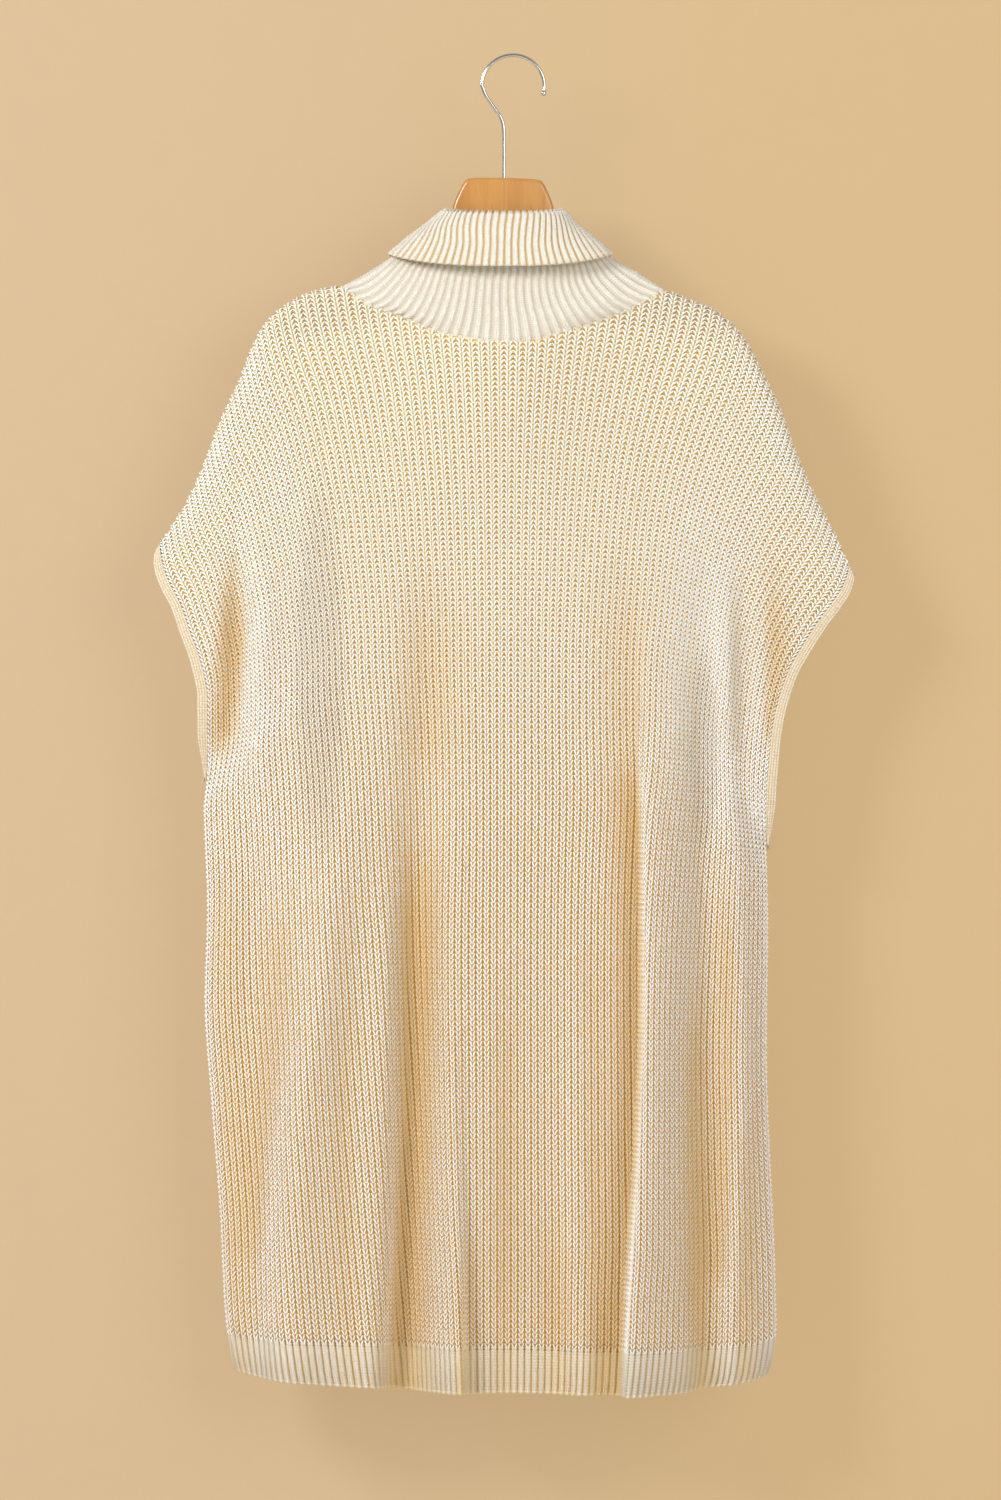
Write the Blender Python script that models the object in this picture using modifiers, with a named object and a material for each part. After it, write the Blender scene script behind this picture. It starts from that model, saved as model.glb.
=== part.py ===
"""Tunic sweater on its hanger: a wide sleeveless knitted tunic with a turned-down
ribbed collar, hanging on a wooden hanger with a steel wire hook.

Tables are in millimetres and objects in metres, +Z up. The origin is the inside of
the hook's crown, where a rail or a peg carries it. X runs to the right seen from
behind, and the tunic's back faces -Y. In the tables x is measured from the hook's
shaft, which is also the tunic's centre line.
"""

import math

import bmesh
import bpy
import numpy as np
from mathutils import Vector

MM = 0.001
SHAFT_X = -7.65          # the shaft's place beside the hook's crown
WALL = 3.0               # thickness of the chunky knit
SEAM_GAP = 0.3           # between two pieces that are sewn together
HALF_GAP = SEAM_GAP / 2
SIDE_LIP = 2.6           # width of the square edge along a side seam
SHOULDER_LIP = 4.6       # width of the flat over the hanger's arm, from the shoulder seam
SEWN_GAP = 0.9           # where a band or a rib leaves a curved edge
NECK_GAP = 1.2           # under the collar, measured straight up

# ---- outline of the tunic -------------------------------------------------------
# Columns: x, z. From the neck point, over the shoulder, to the tip of the sleeve.
SHOULDER_LEFT = (
    (-137, -194), (-164, -200), (-195, -218), (-210, -238), (-225, -275), (-241, -309),
    (-255, -346), (-270, -379), (-284, -401), (-293, -415),
)
SHOULDER_RIGHT = (
    (137, -197.8), (146, -201.5), (175, -213), (190, -223), (205, -240), (218, -264),
    (235, -300), (251, -343), (265, -374), (282, -407), (294, -434),
)
# Columns: z, x. Down the armhole, inside its band, then down the side to the hem.
EDGE_LEFT = (
    (-415, -293), (-432, -290), (-448, -284), (-465, -275), (-488, -267), (-513, -258),
    (-545, -252), (-591, -250), (-616, -250), (-621, -257), (-640, -256), (-668, -253),
    (-720, -252), (-802, -254), (-893, -248), (-983, -241), (-1063, -237), (-1105, -231),
    (-1131, -224),
)
EDGE_RIGHT = (
    (-434, 294), (-450, 288), (-464, 279), (-480, 267), (-500, 254), (-526, 240),
    (-564, 229), (-587, 226), (-673, 219), (-678, 226), (-700, 225), (-737, 224),
    (-847, 223), (-961, 227), (-1029, 230), (-1080, 231), (-1110, 227), (-1135, 214),
)
UNDERARM_LEFT_Z = -615.0
UNDERARM_RIGHT_Z = -672.0
NECK_TOP_Z = -183.0      # the shoulder line carried on across the neck
HEM_TOP_Z = -1095.0      # where the plain knit ends and the hem's rib starts
HEM_RIB = 36.0

# Columns: x, z. The seam between the collar and each panel.
NECK_SEAM_BACK = (
    (-137, -194), (-126, -205), (-114, -212), (-88, -221), (-58, -234), (-41, -238), (0, -243),
    (27, -241), (48, -235), (70, -229), (90, -222), (110, -213), (126, -204), (137, -197.8),
)
NECK_SEAM_FRONT = (
    (-137, -194), (-126, -208), (-112, -218), (-88, -233), (-45, -253), (0, -260),
    (45, -252), (88, -232), (112, -217), (126, -207), (137, -197.8),
)

# ---- how the knitting lies ------------------------------------------------------
ROWS = 211                # courses from the shoulder line to the hem's rib
ROW_SETTLE = 42.0         # courses over which a sloping course becomes level
NECK_WALE = 0.317         # neck point, as a share of half the panel's wales
# Columns: wale share, courses lost to the slope of the shoulder.
SHOULDER_SLOPE = ((0.0, 0), (NECK_WALE, 0), (0.46, 4), (0.61, 12), (0.79, 25), (1.0, 41))
# Columns: share of the length, how far the wales still spread like the shoulder line.
SPREAD_LEFT = ((0.0, 1.0), (0.1, 0.78), (0.2, 0.56), (0.38, 0.27), (0.62, 0.08), (1.0, -0.04))
SPREAD_RIGHT = ((0.0, 1.0), (0.1, 0.84), (0.2, 0.70), (0.38, 0.48), (0.62, 0.12), (1.0, -0.03))
# Columns: wale share, how much lower than the middle the hem hangs there.
HEM_DROP = (
    (-1.0, -9), (-0.8, -4), (-0.3, 1), (0.0, 2), (0.3, 4), (0.6, 4), (0.9, -1), (1.0, -7),
)

# ---- depth of the tunic ---------------------------------------------------------
# Columns: z, half depth at the middle of the panel, without its folds.
BACK_DEPTH = (
    (-183, 14), (-260, 15), (-400, 21), (-600, 30), (-800, 36), (-1000, 40), (-1135, 42),
)
FRONT_DEPTH = (
    (-183, 14), (-260, 15), (-400, 19), (-600, 25), (-800, 28), (-1000, 30), (-1135, 31),
)
# Columns: z, how flat the section is between its two sides.
LENS_POWER = ((-183, 7), (-290, 6), (-480, 3.2), (-700, 2.5), (-1135, 2.5))
EDGE_SHARE = 6            # how close to the edge the armhole's width is felt
NECK_BULGE = 16.0         # the neck opening holds the cloth apart
NECK_BULGE_WIDTH = 78.0
NECK_BULGE_Z = (-250.0, -430.0)
SHOULDER_ROUND = 6.5      # how soon the cloth turns down over the hanger
ARMHOLE_HALF = 12.0       # half the width of the armhole at its middle
BAND_WIDTH = 8.5          # ribbed band round the armhole
BAND_TURN = 14.0          # how soon the band turns from the shoulder's slope
TIP_SLOPE = (0.5, -0.87)  # way the band runs on past the tip of the shoulder

MID_Z = -800.0            # where the tables of folds give their middle and their end
LOW_Z = -1130.0
# Columns: x and z where the fold starts, x at mid height, x at the hem, rise at mid
# height, rise at the hem, width to its left, width to its right, sideways lean.
BACK_FOLDS = (
    (-213, -600, -214, -205, -9, -6, 16, 18, 0),
    (-125, -560, -160, -186, 11, 17, 34, 30, 0),
    (-62, -400, -77, -89, -17, -27, 19, 24, 0),
    (-48, -600, -51, -46, 7, 16, 13, 12, 9),
    (30, -600, 33, 35, -5, -15, 52, 50, 0),
    (62, -760, 64, 65, 1, 6, 16, 16, 0),
    (124, -400, 131, 117, 17, 24, 12, 24, -13),
    (166, -400, 171, 176, -12, -13, 13, 14, 0),
    (194, -450, 199, 203, 8, 7, 13, 12, 0),
)
FRONT_FOLDS = (
    (-190, -600, -192, -190, -7, -9, 18, 18, 0),
    (-130, -500, -138, -146, 7, 10, 26, 28, 0),
    (-52, -520, -58, -66, -8, -12, 24, 26, 0),
    (8, -560, 4, 0, 5, 8, 28, 28, 0),
    (74, -500, 72, 70, -8, -12, 22, 26, 0),
    (138, -480, 140, 142, 8, 10, 26, 22, 0),
    (192, -560, 190, 188, -6, -8, 16, 16, 0),
)
# Columns: x and z of the upper end, x and z of the lower end, rise, width to its
# left, width to its right. These run from the sleeve into the body.
SLEEVE_FOLDS = (
    (-222, -370, -238, -660, -9, 9, 17),
    (-234, -400, -256, -580, 5, 9, 8),
    (-196, -380, -212, -640, 4, 14, 12),
    (206, -390, 207, -700, -10, 13, 10),
    (188, -400, 190, -680, 5, 10, 10),
    (232, -420, 226, -640, 4, 12, 14),
)

# ---- collar ---------------------------------------------------------------------
# One knitted tube: the stand rises from the neck seam, turns over and falls outside.
# Columns: half width left, half width right, z at the sides, z behind, z in front,
# half depth behind, half depth in front. The rows run from the seam to the free edge.
COLLAR_RINGS = (
    (121, 118, -186.5, -228, -244, 28, 28.5),
    (99, 94, -172.5, -207, -222, 25, 25),
    (76, 73, -154, -178, -190, 22.5, 22.5),
    (56, 54, -139, -147, -152, 19.5, 19.5),
    (49.8, 49.0, -133.5, -136.5, -139, 18, 18),
    (51.0, 50.2, -131.2, -134.4, -137, 19.4, 19.4),
    (52.4, 51.6, -133.4, -136.4, -139, 21, 21),
    (64, 60, -143, -147.5, -152, 25.5, 25.5),
    (80, 75, -155, -163, -168, 30, 30),
    (97, 91, -169, -180.5, -186, 35, 35),
)
COLLAR_SQUARENESS = 0.8

# ---- hanger ---------------------------------------------------------------------
WOOD_THICK = 14.5
WOOD_ROUND = 3.4
HANGER_TILT = math.radians(1.3)    # the right arm hangs a little lower
WOOD_TOP_Z = -103.0
# Columns: x, z of the upper edge of one arm, from the crown to the end.
ARM_TOP = (
    (0, -103), (20, -103.3), (31, -104.5), (34, -107.5), (38.4, -116), (42.5, -126.5), (45, -139),
    (56, -153), (78, -176), (108, -199), (137, -205.8), (162, -209.3), (178, -216.6),
    (187, -224), (190, -232),
)
# Columns: x, z of the lower edge, from the end back to the middle.
ARM_BOTTOM = ((187, -237.5), (178, -239.5), (150, -233), (105, -226), (55, -217), (0, -212))
HOOK_WIRE = 1.6           # radius of the wire
HOOK_BALL = 2.5           # radius of the rounded tip
HOOK_CROWN_X = 7.65
HOOK_RADIUS = 25.0 + HOOK_WIRE
# Columns: x, z. The shaft's route up to the round part.
HOOK_SHAFT = (
    (0, -130), (0, -110), (0, -90), (0, -72), (-0.4, -60), (-2.5, -52), (-6.8, -45.5), (-12, -38),
    (-16, -31.5), (-18.3, -25.5),
)
HOOK_END_ANGLE = math.radians(-8)
SHAFT_HOLE = HOOK_WIRE + SEAM_GAP

# ---- how finely the cloth is faceted --------------------------------------------
NECK_COLUMNS = 13
ARM_COLUMNS = 14
LIP_WALE = 0.994
UNDERARM_ROWS = (-0.02, 0.0, 0.009)
# Share of a wale's length at which a row of points lies. The first two rows are the
# shoulder seam and its lip. Each underarm adds rows of its own.
PANEL_ROWS = (
    0.0, 0.0, 0.0025, 0.008, 0.02, 0.045, 0.08, 0.125, 0.18, 0.24, 0.47, 0.56, 0.65,
    0.74, 0.83, 0.915, 1.0,
)
SECTION_SAMPLES = 241
LENGTH_SAMPLES = 120


def smooth(at, rows):
    """Smooth curve through a table's first two columns."""
    at = np.asarray(at, float)
    xs = np.array([row[0] for row in rows], float)
    ys = np.array([row[1] for row in rows], float)
    if xs[0] > xs[-1]:
        xs, ys = xs[::-1], ys[::-1]
    step = np.diff(xs)
    rise = np.diff(ys) / step
    slope = np.empty(len(xs))
    slope[0] = rise[0]
    slope[-1] = rise[-1]
    same_way = rise[:-1] * rise[1:] > 0
    mean = 2 * rise[:-1] * rise[1:] / np.where(same_way, rise[:-1] + rise[1:], 1)
    slope[1:-1] = np.where(same_way, mean, 0)
    k = np.clip(np.searchsorted(xs, at) - 1, 0, len(step) - 1)
    t = np.clip((at - xs[k]) / step[k], 0, 1)
    a = (1 + 2 * t) * (1 - t) ** 2 * ys[k] + t * t * (3 - 2 * t) * ys[k + 1]
    b = t * (1 - t) ** 2 * slope[k] - t * t * (1 - t) * slope[k + 1]
    return a + b * step[k]


def ease(at, start, end):
    """0 before start, 1 after end, smooth between."""
    t = np.clip((np.asarray(at, float) - start) / (end - start), 0, 1)
    return t * t * (3 - 2 * t)


class Side:
    """The left (-1) or right (+1) half of the outline, with x counted outwards."""

    def __init__(self, sign):
        self.sign = sign
        shoulder = SHOULDER_LEFT if sign < 0 else SHOULDER_RIGHT
        points = np.array([(0, NECK_TOP_Z)] + [(abs(x), z) for x, z in shoulder], float)
        lengths = np.hypot(*np.diff(points, axis=0).T)
        out = np.concatenate([[0], np.cumsum(lengths[1:])]) / lengths[1:].sum()
        wales = np.concatenate([[0], NECK_WALE + (1 - NECK_WALE) * out])
        self.line_x = list(zip(wales, points[:, 0]))
        self.line_z = list(zip(wales, points[:, 1]))
        self.tip_x, self.tip_z = points[-1]
        edge = EDGE_LEFT if sign < 0 else EDGE_RIGHT
        self.edge = [(z, abs(x)) for z, x in edge]
        self.spread = SPREAD_LEFT if sign < 0 else SPREAD_RIGHT
        self.underarm = UNDERARM_LEFT_Z if sign < 0 else UNDERARM_RIGHT_Z
        lengths = np.linspace(0, 1, 400)
        self.underarm_length = float(np.interp(-self.underarm, -self.height(1.0, lengths), lengths))

    def shoulder(self, wale):
        """x, z and steepness of the shoulder line at a share of the wales."""
        x = smooth(wale, self.line_x)
        z = smooth(wale, self.line_z)
        ahead = np.minimum(wale + 0.01, 1)
        behind = np.maximum(wale - 0.01, 0)
        run = smooth(ahead, self.line_x) - smooth(behind, self.line_x)
        fall = smooth(behind, self.line_z) - smooth(ahead, self.line_z)
        return x, z, run / np.hypot(run, fall)

    def height(self, wale, length):
        """z of a wale at a share of its length; past 1 it is in the hem's rib."""
        line_z = self.shoulder(wale)[1]
        lost = smooth(wale, SHOULDER_SLOPE)
        row = lost + length * (ROWS - lost)
        pitch = (NECK_TOP_Z - HEM_TOP_Z) / ROWS
        slope = NECK_TOP_Z - pitch * lost - line_z
        settle = np.exp(-(row - lost) / ROW_SETTLE)
        hem = smooth(self.sign * wale, HEM_DROP) * ease(length, 0.3, 1)
        return NECK_TOP_Z - pitch * row - slope * settle - hem

    def edge_x(self, z):
        """x of the panel's outer edge: the armhole's, then the side seam's."""
        return smooth(z, self.edge)

    def armhole(self, z):
        """Half the width of the armhole at a height, 0 below the underarm."""
        above = np.clip(self.tip_z - z, 0, None)
        below = np.clip(z - self.underarm, 0, None)
        share = above * below / ((self.tip_z - self.underarm) / 2) ** 2
        width = SHOULDER_LIP + (ARMHOLE_HALF - SHOULDER_LIP) * np.clip(share, 0, 1) ** 0.7
        return width * ease(z, self.underarm - 5, self.underarm - 1)


def quarter(t):
    """Quarter of a circle from 0 to 1."""
    t = np.clip(t, 0, 1)
    return np.sqrt(1 - (1 - t) ** 2)


LEFT = Side(-1)
RIGHT = Side(1)


def bell(x, middle, left, right):
    """Soft ridge across a fold, 1 at its middle."""
    width = np.where(x < middle, left, right)
    return np.exp(-(((x - middle) / width) ** 2))


def fold_shape(x, z, back):
    """Rise outwards and shift sideways that the folds give a point of a panel."""
    rise = np.zeros_like(x)
    shift = np.zeros_like(x)
    for x0, z0, x_mid, x_low, r_mid, r_low, left, right, lean in BACK_FOLDS if back else FRONT_FOLDS:
        middle = smooth(z, ((z0, x0), (MID_Z, x_mid), (LOW_Z, x_low)))
        height = smooth(z, ((z0, 0.0), (MID_Z, r_mid), (LOW_Z, r_low)))
        here = bell(x, middle, left, right)
        rise += height * here
        shift += lean * height / r_low * here
    for x0, z0, x1, z1, height, left, right in SLEEVE_FOLDS:
        t = np.clip((z - z0) / (z1 - z0), 0, 1)
        here = bell(x, x0 + (x1 - x0) * t, left, right)
        rise += (height if back else 0.7 * height) * here * np.sin(math.pi * t) ** 2
    return rise, shift


def panel_row(length, wales, back):
    """Points of one row of a panel: the same share of every wale's length."""
    points = np.zeros((len(wales), 3))
    for side in (LEFT, RIGHT):
        here = wales * side.sign >= 0
        fine = np.sin(np.linspace(0, math.pi / 2, SECTION_SAMPLES))
        z_edge = side.height(np.array([1.0]), length)[0]
        x_edge = side.edge_x(z_edge)
        spread = smooth(length, side.spread)
        line_x, line_z, steep = side.shoulder(fine)
        place = (1 - spread) * fine + spread * line_x / side.tip_x
        x = x_edge * place
        z = side.height(fine, length)
        deep = smooth(z, BACK_DEPTH if back else FRONT_DEPTH)
        gap = max(side.armhole(z_edge), HALF_GAP)
        power = 1 - 0.5 * ease(z_edge, side.underarm + 60, side.underarm - 40)
        lens = (1 - np.clip(place, 0, 1) ** smooth(z, LENS_POWER)) ** power
        depth = deep * lens + gap * place ** EDGE_SHARE
        spare = ease(z, NECK_BULGE_Z[1], NECK_BULGE_Z[0])
        depth += NECK_BULGE * spare * np.exp(-((x / NECK_BULGE_WIDTH) ** 2))
        rise, shift = fold_shape(side.sign * x, z, back)
        calm = 1 - place ** 8
        depth = depth + rise * calm
        x = x + side.sign * shift * calm
        over = np.clip(line_z - z, 0, None) * steep
        lip = np.minimum(SHOULDER_LIP, depth)
        depth = np.maximum(lip + (depth - lip) * quarter(over / SHOULDER_ROUND), HALF_GAP)
        along = np.concatenate([[0], np.cumsum(np.hypot(np.diff(x), np.diff(depth)))])
        share = np.abs(wales[here])
        line_share = side.shoulder(share)[0] / side.tip_x
        wanted = ((1 - spread) * share + spread * line_share) * along[-1]
        points[here, 0] = side.sign * np.interp(wanted, along, x)
        points[here, 1] = np.interp(wanted, along, depth)
        points[here, 2] = side.height(share, length)
    points[:, 1] *= -1 if back else 1
    return points


def panel_sheet(wales, shares, back):
    """Points of a panel: shares of each wale's length below the neckline."""
    lengths = np.linspace(0, 1, LENGTH_SAMPLES) ** 2
    dense = np.array([panel_row(length, wales, back) for length in lengths])
    seam = NECK_SEAM_BACK if back else NECK_SEAM_FRONT
    points = np.zeros((len(shares), len(wales), 3))
    for column, wale in enumerate(wales):
        track = dense[:, column]
        below_seam = smooth(track[:, 0], seam) - track[:, 2]
        in_neck = abs(wale) < NECK_WALE - 1e-6
        taken = np.interp(0, below_seam, lengths) if in_neck else 0.0
        wanted = taken + (1 - taken) * shares
        for axis in range(3):
            points[:, column, axis] = np.interp(wanted, lengths, track[:, axis])
        if in_neck:
            points[1, column] = points[0, column] * 0.6 + points[2, column] * 0.4
    return points


def world(point):
    """Table coordinates in millimetres to metres, from the hook's crown."""
    return Vector(((point[0] + SHAFT_X) * MM, point[1] * MM, point[2] * MM))


def material(name, colour, roughness, metallic=0.0):
    """Plain Principled material."""
    made = bpy.data.materials.new(name)
    made.use_nodes = True
    shader = made.node_tree.nodes["Principled BSDF"]
    shader.inputs["Base Color"].default_value = (*colour, 1)
    shader.inputs["Roughness"].default_value = roughness
    shader.inputs["Metallic"].default_value = metallic
    return made


def add_mesh(name, mesh, finish, collection):
    """One object of the part, shaded smooth."""
    piece = bpy.data.objects.new(name, mesh)
    mesh.materials.clear()
    mesh.materials.append(finish)
    mesh.shade_smooth()
    mesh.set_sharp_from_angle(angle=math.radians(50))
    collection.objects.link(piece)
    return piece


def cloth_grid(name, points, finish, collection, tube=False, flip=False):
    """A sheet of points (rows of columns) given the thickness of the knit."""
    rows, columns = points.shape[:2]
    bm = bmesh.new()
    bmesh.ops.create_grid(bm, x_segments=columns - 1, y_segments=rows - 1, size=1)
    for vert in bm.verts:
        column = round((vert.co.x + 1) / 2 * (columns - 1))
        row = round((vert.co.y + 1) / 2 * (rows - 1))
        vert.co = world(points[row, column])
    if tube:
        bmesh.ops.remove_doubles(bm, verts=bm.verts, dist=1e-6)
    if flip:
        bmesh.ops.reverse_faces(bm, faces=bm.faces)
    mesh = bpy.data.meshes.new(name)
    bm.to_mesh(mesh)
    bm.free()
    piece = add_mesh(name, mesh, finish, collection)
    wall = piece.modifiers.new("wall", "SOLIDIFY")
    wall.thickness = WALL * MM
    wall.offset = -1
    wall.use_even_offset = False
    return piece


def neck_wales():
    """Wale shares of the columns that end at the collar."""
    return NECK_WALE * np.sin(np.linspace(-math.pi / 2, math.pi / 2, NECK_COLUMNS))


def column_wales():
    """Wale shares of a panel's columns, with one for the lip along each side seam."""
    arm = np.linspace(NECK_WALE, 1, ARM_COLUMNS)[1:]
    arm = np.insert(arm, -1, LIP_WALE)
    return np.concatenate([-arm[::-1], neck_wales(), arm])


def row_shares():
    """Shares of a wale's length at which the panels have rows."""
    rows = list(PANEL_ROWS)
    for side in (LEFT, RIGHT):
        rows += [side.underarm_length + step for step in UNDERARM_ROWS]
    return np.array(sorted(rows))


def square_sides(points, wales, on_panel=True):
    """Gives the side and shoulder edges a lip that runs straight to the seam."""
    for side, edge, lip, inner in ((LEFT, 0, 1, 2), (RIGHT, -1, -2, -3)):
        outward = np.sign(points[:, inner, 1])
        sewn = points[:, edge, 2] < side.underarm - 2
        points[sewn, lip, 0] = points[sewn, edge, 0]
        points[sewn, lip, 2] = points[sewn, edge, 2]
        points[sewn, lip, 1] = outward[sewn] * SIDE_LIP
    if on_panel:
        on_shoulder = np.abs(wales) >= NECK_WALE - 1e-9
        outward = np.sign(points[4, :, 1])
        points[0, on_shoulder, 1] = outward[on_shoulder] * HALF_GAP
    return points


def panel_points(back):
    """The whole panel: rows from its upper edge to the top of the hem's rib."""
    wales = column_wales()
    return square_sides(panel_sheet(wales, row_shares(), back), wales)


def hem_points(back):
    """The hem's rib: it carries the panel on, a seam's gap lower."""
    span = NECK_TOP_Z - HEM_TOP_Z
    lengths = (1 + SEWN_GAP / span, 1 + 0.4 * HEM_RIB / span, 1 + HEM_RIB / span)
    wales = column_wales()
    points = np.array([panel_row(length, wales, back) for length in lengths])
    return square_sides(points, wales, on_panel=False)


def collar_points():
    """Rings of the collar, from the neck seam over the fold to the free edge."""
    wales = neck_wales()
    first = np.array([0.0, 0.0, 0.01])
    seam_back = panel_sheet(wales, first, True)[0]
    seam_front = panel_sheet(wales, first, False)[0]
    seam = np.concatenate([seam_back, seam_front[-2::-1]])
    seam[[0, NECK_COLUMNS - 1, -1], 1] = 0
    seam[:, 2] += NECK_GAP
    turn = np.linspace(-math.pi, math.pi, len(seam))
    across = np.cos(turn)
    behind = np.sin(turn) < -1e-9
    rings = [seam]
    for left, right, z_side, z_back, z_front, deep_back, deep_front in COLLAR_RINGS:
        wide = np.where(across < 0, left, right)
        deep = np.where(behind, deep_back, deep_front)
        z_mid = np.where(behind, z_back, z_front)
        x = wide * np.sign(across) * np.abs(across) ** COLLAR_SQUARENESS
        y = deep * np.sign(np.sin(turn)) * np.abs(np.sin(turn)) ** COLLAR_SQUARENESS
        lower = np.abs(np.sin(turn)) ** 1.5
        z = z_side + (z_mid - z_side) * lower
        rings.append(np.stack([x, y, z], axis=1))
    points = np.array(rings)
    points[:, -1] = points[:, 0]
    return points


def band_points(side):
    """The armhole's band: a ring at the panels' edge and a ring at its free edge."""
    shares = row_shares()[1:]
    z = side.height(1.0, shares[shares <= side.underarm_length + 1e-6])
    x = side.edge_x(z)
    run = np.gradient(x)
    fall = -np.gradient(z)
    out_x = fall / np.hypot(run, fall)
    out_z = run / np.hypot(run, fall)
    at_tip = np.exp((z - side.tip_z) / BAND_TURN)
    out_x = out_x * (1 - at_tip) + at_tip * TIP_SLOPE[0]
    out_z = out_z * (1 - at_tip) + at_tip * TIP_SLOPE[1]
    low = ease(z, side.underarm + 40, side.underarm)
    out_x = out_x * (1 - low) + low
    out_z = out_z * (1 - low)
    wide = side.armhole(z)
    inner = SEWN_GAP * (1 + 2.5 * at_tip + low)
    rings = []
    for outward in (inner, BAND_WIDTH):
        half = np.stack([side.sign * (x + out_x * outward), -wide, z + out_z * outward], axis=1)
        half = np.concatenate([half[:1], half, half[-1:]])
        half[[0, -1], 1] = 0
        front = half[-2::-1] * (1, -1, 1)
        rings.append(np.concatenate([half, front]))
    return np.array(rings)


def curve_object(name, points, collection, closed):
    """Poly curve through points in millimetres."""
    curve = bpy.data.curves.new(name, "CURVE")
    spline = curve.splines.new("POLY")
    spline.points.add(len(points) - 1)
    for target, point in zip(spline.points, points):
        target.co = (*point, 1)
    spline.use_cyclic_u = closed
    piece = bpy.data.objects.new(name, curve)
    collection.objects.link(piece)
    return piece


def meshed(piece, name, finish, collection):
    """Turns a curve into a mesh piece with its caps joined."""
    bpy.context.view_layer.update()
    evaluated = piece.evaluated_get(bpy.context.evaluated_depsgraph_get())
    mesh = bpy.data.meshes.new_from_object(evaluated)
    mesh.transform(piece.matrix_world)
    bpy.data.objects.remove(piece)
    bm = bmesh.new()
    bm.from_mesh(mesh)
    bmesh.ops.remove_doubles(bm, verts=bm.verts, dist=1e-5)
    bmesh.ops.recalc_face_normals(bm, faces=bm.faces)
    bm.to_mesh(mesh)
    bm.free()
    mesh.name = name
    return add_mesh(name, mesh, finish, collection)


def build_wood(finish, collection, cutters):
    """The hanger's board: crown and two arms, rounded along its edges."""
    along = np.linspace(0, 1, 40)
    knots = np.linspace(0, 1, len(ARM_TOP))
    upper = np.stack([
        smooth(along, list(zip(knots, [x for x, z in ARM_TOP]))),
        smooth(along, list(zip(knots, [z for x, z in ARM_TOP]))),
    ], axis=1)
    lower = np.array(ARM_BOTTOM, float)
    half = np.concatenate([upper, lower])
    mirrored = half[1:-1][::-1] * (-1, 1)
    outline = np.concatenate([half, mirrored])
    turned = []
    for x, z in outline:
        z = z - WOOD_TOP_Z
        across = x * math.cos(HANGER_TILT) + z * math.sin(HANGER_TILT)
        up = z * math.cos(HANGER_TILT) - x * math.sin(HANGER_TILT)
        turned.append(((across + SHAFT_X) * MM, (up + WOOD_TOP_Z) * MM, 0))
    board = curve_object("board", turned, collection, closed=True)
    board.data.dimensions = "2D"
    board.data.fill_mode = "BOTH"
    board.data.extrude = (WOOD_THICK / 2 - WOOD_ROUND) * MM
    board.data.bevel_depth = WOOD_ROUND * MM
    board.data.offset = -WOOD_ROUND * MM
    board.data.bevel_resolution = 2
    board.rotation_euler = (math.pi / 2, 0, 0)
    wood = meshed(board, "hanger_wood", finish, collection)
    depth = WOOD_TOP_Z - HOOK_SHAFT[0][1] + SEAM_GAP
    bm = bmesh.new()
    bmesh.ops.create_cone(
        bm, cap_ends=True, segments=16, radius1=SHAFT_HOLE * MM, radius2=SHAFT_HOLE * MM,
        depth=(depth + 10) * MM,
    )
    middle = WOOD_TOP_Z - depth + (depth + 10) / 2
    bmesh.ops.translate(bm, verts=bm.verts, vec=world((0, 0, middle)))
    mesh = bpy.data.meshes.new("shaft_hole")
    bm.to_mesh(mesh)
    bm.free()
    cutter = bpy.data.objects.new("shaft_hole", mesh)
    cutter.hide_render = True
    cutter.display_type = "WIRE"
    cutters.objects.link(cutter)
    cut = wood.modifiers.new("shaft hole", "BOOLEAN")
    cut.operation = "DIFFERENCE"
    cut.object = cutter
    cut.solver = "EXACT"
    return wood


def build_hook(finish, collection):
    """The steel wire hook: shaft, swan neck, round crown and rounded tip."""
    lengths = np.linspace(0, 1, len(HOOK_SHAFT))
    along = np.linspace(0, 1, 28)
    x = smooth(along, list(zip(lengths, [p[0] for p in HOOK_SHAFT])))
    z = smooth(along, list(zip(lengths, [p[1] for p in HOOK_SHAFT])))
    route = list(zip(x, z))
    centre = (HOOK_CROWN_X, -25.0)
    start = math.pi + math.atan2(centre[1] - HOOK_SHAFT[-1][1], centre[0] - HOOK_SHAFT[-1][0])
    for turn in np.linspace(start, HOOK_END_ANGLE, 34)[1:]:
        route.append((centre[0] + HOOK_RADIUS * math.cos(turn), centre[1] + HOOK_RADIUS * math.sin(turn)))
    ball = [(math.cos(t), math.sin(t)) for t in np.linspace(math.radians(140), 0, 8)]
    out = Vector((math.sin(HOOK_END_ANGLE), -math.cos(HOOK_END_ANGLE)))
    end = Vector(route[-1])
    radii = [HOOK_WIRE] * len(route)
    for along_ball, radius in ball:
        place = end + out * HOOK_BALL * (along_ball + 0.77)
        route.append((place.x, place.y))
        radii.append(max(HOOK_BALL * radius, 0.25))
    points = [world((a, 0, b)) for a, b in route]
    wire = curve_object("wire", points, collection, closed=False)
    wire.data.dimensions = "3D"
    wire.data.bevel_depth = MM
    wire.data.bevel_resolution = 3
    wire.data.use_fill_caps = True
    for point, radius in zip(wire.data.splines[0].points, radii):
        point.radius = radius
    return meshed(wire, "hanger_hook", finish, collection)


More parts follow.
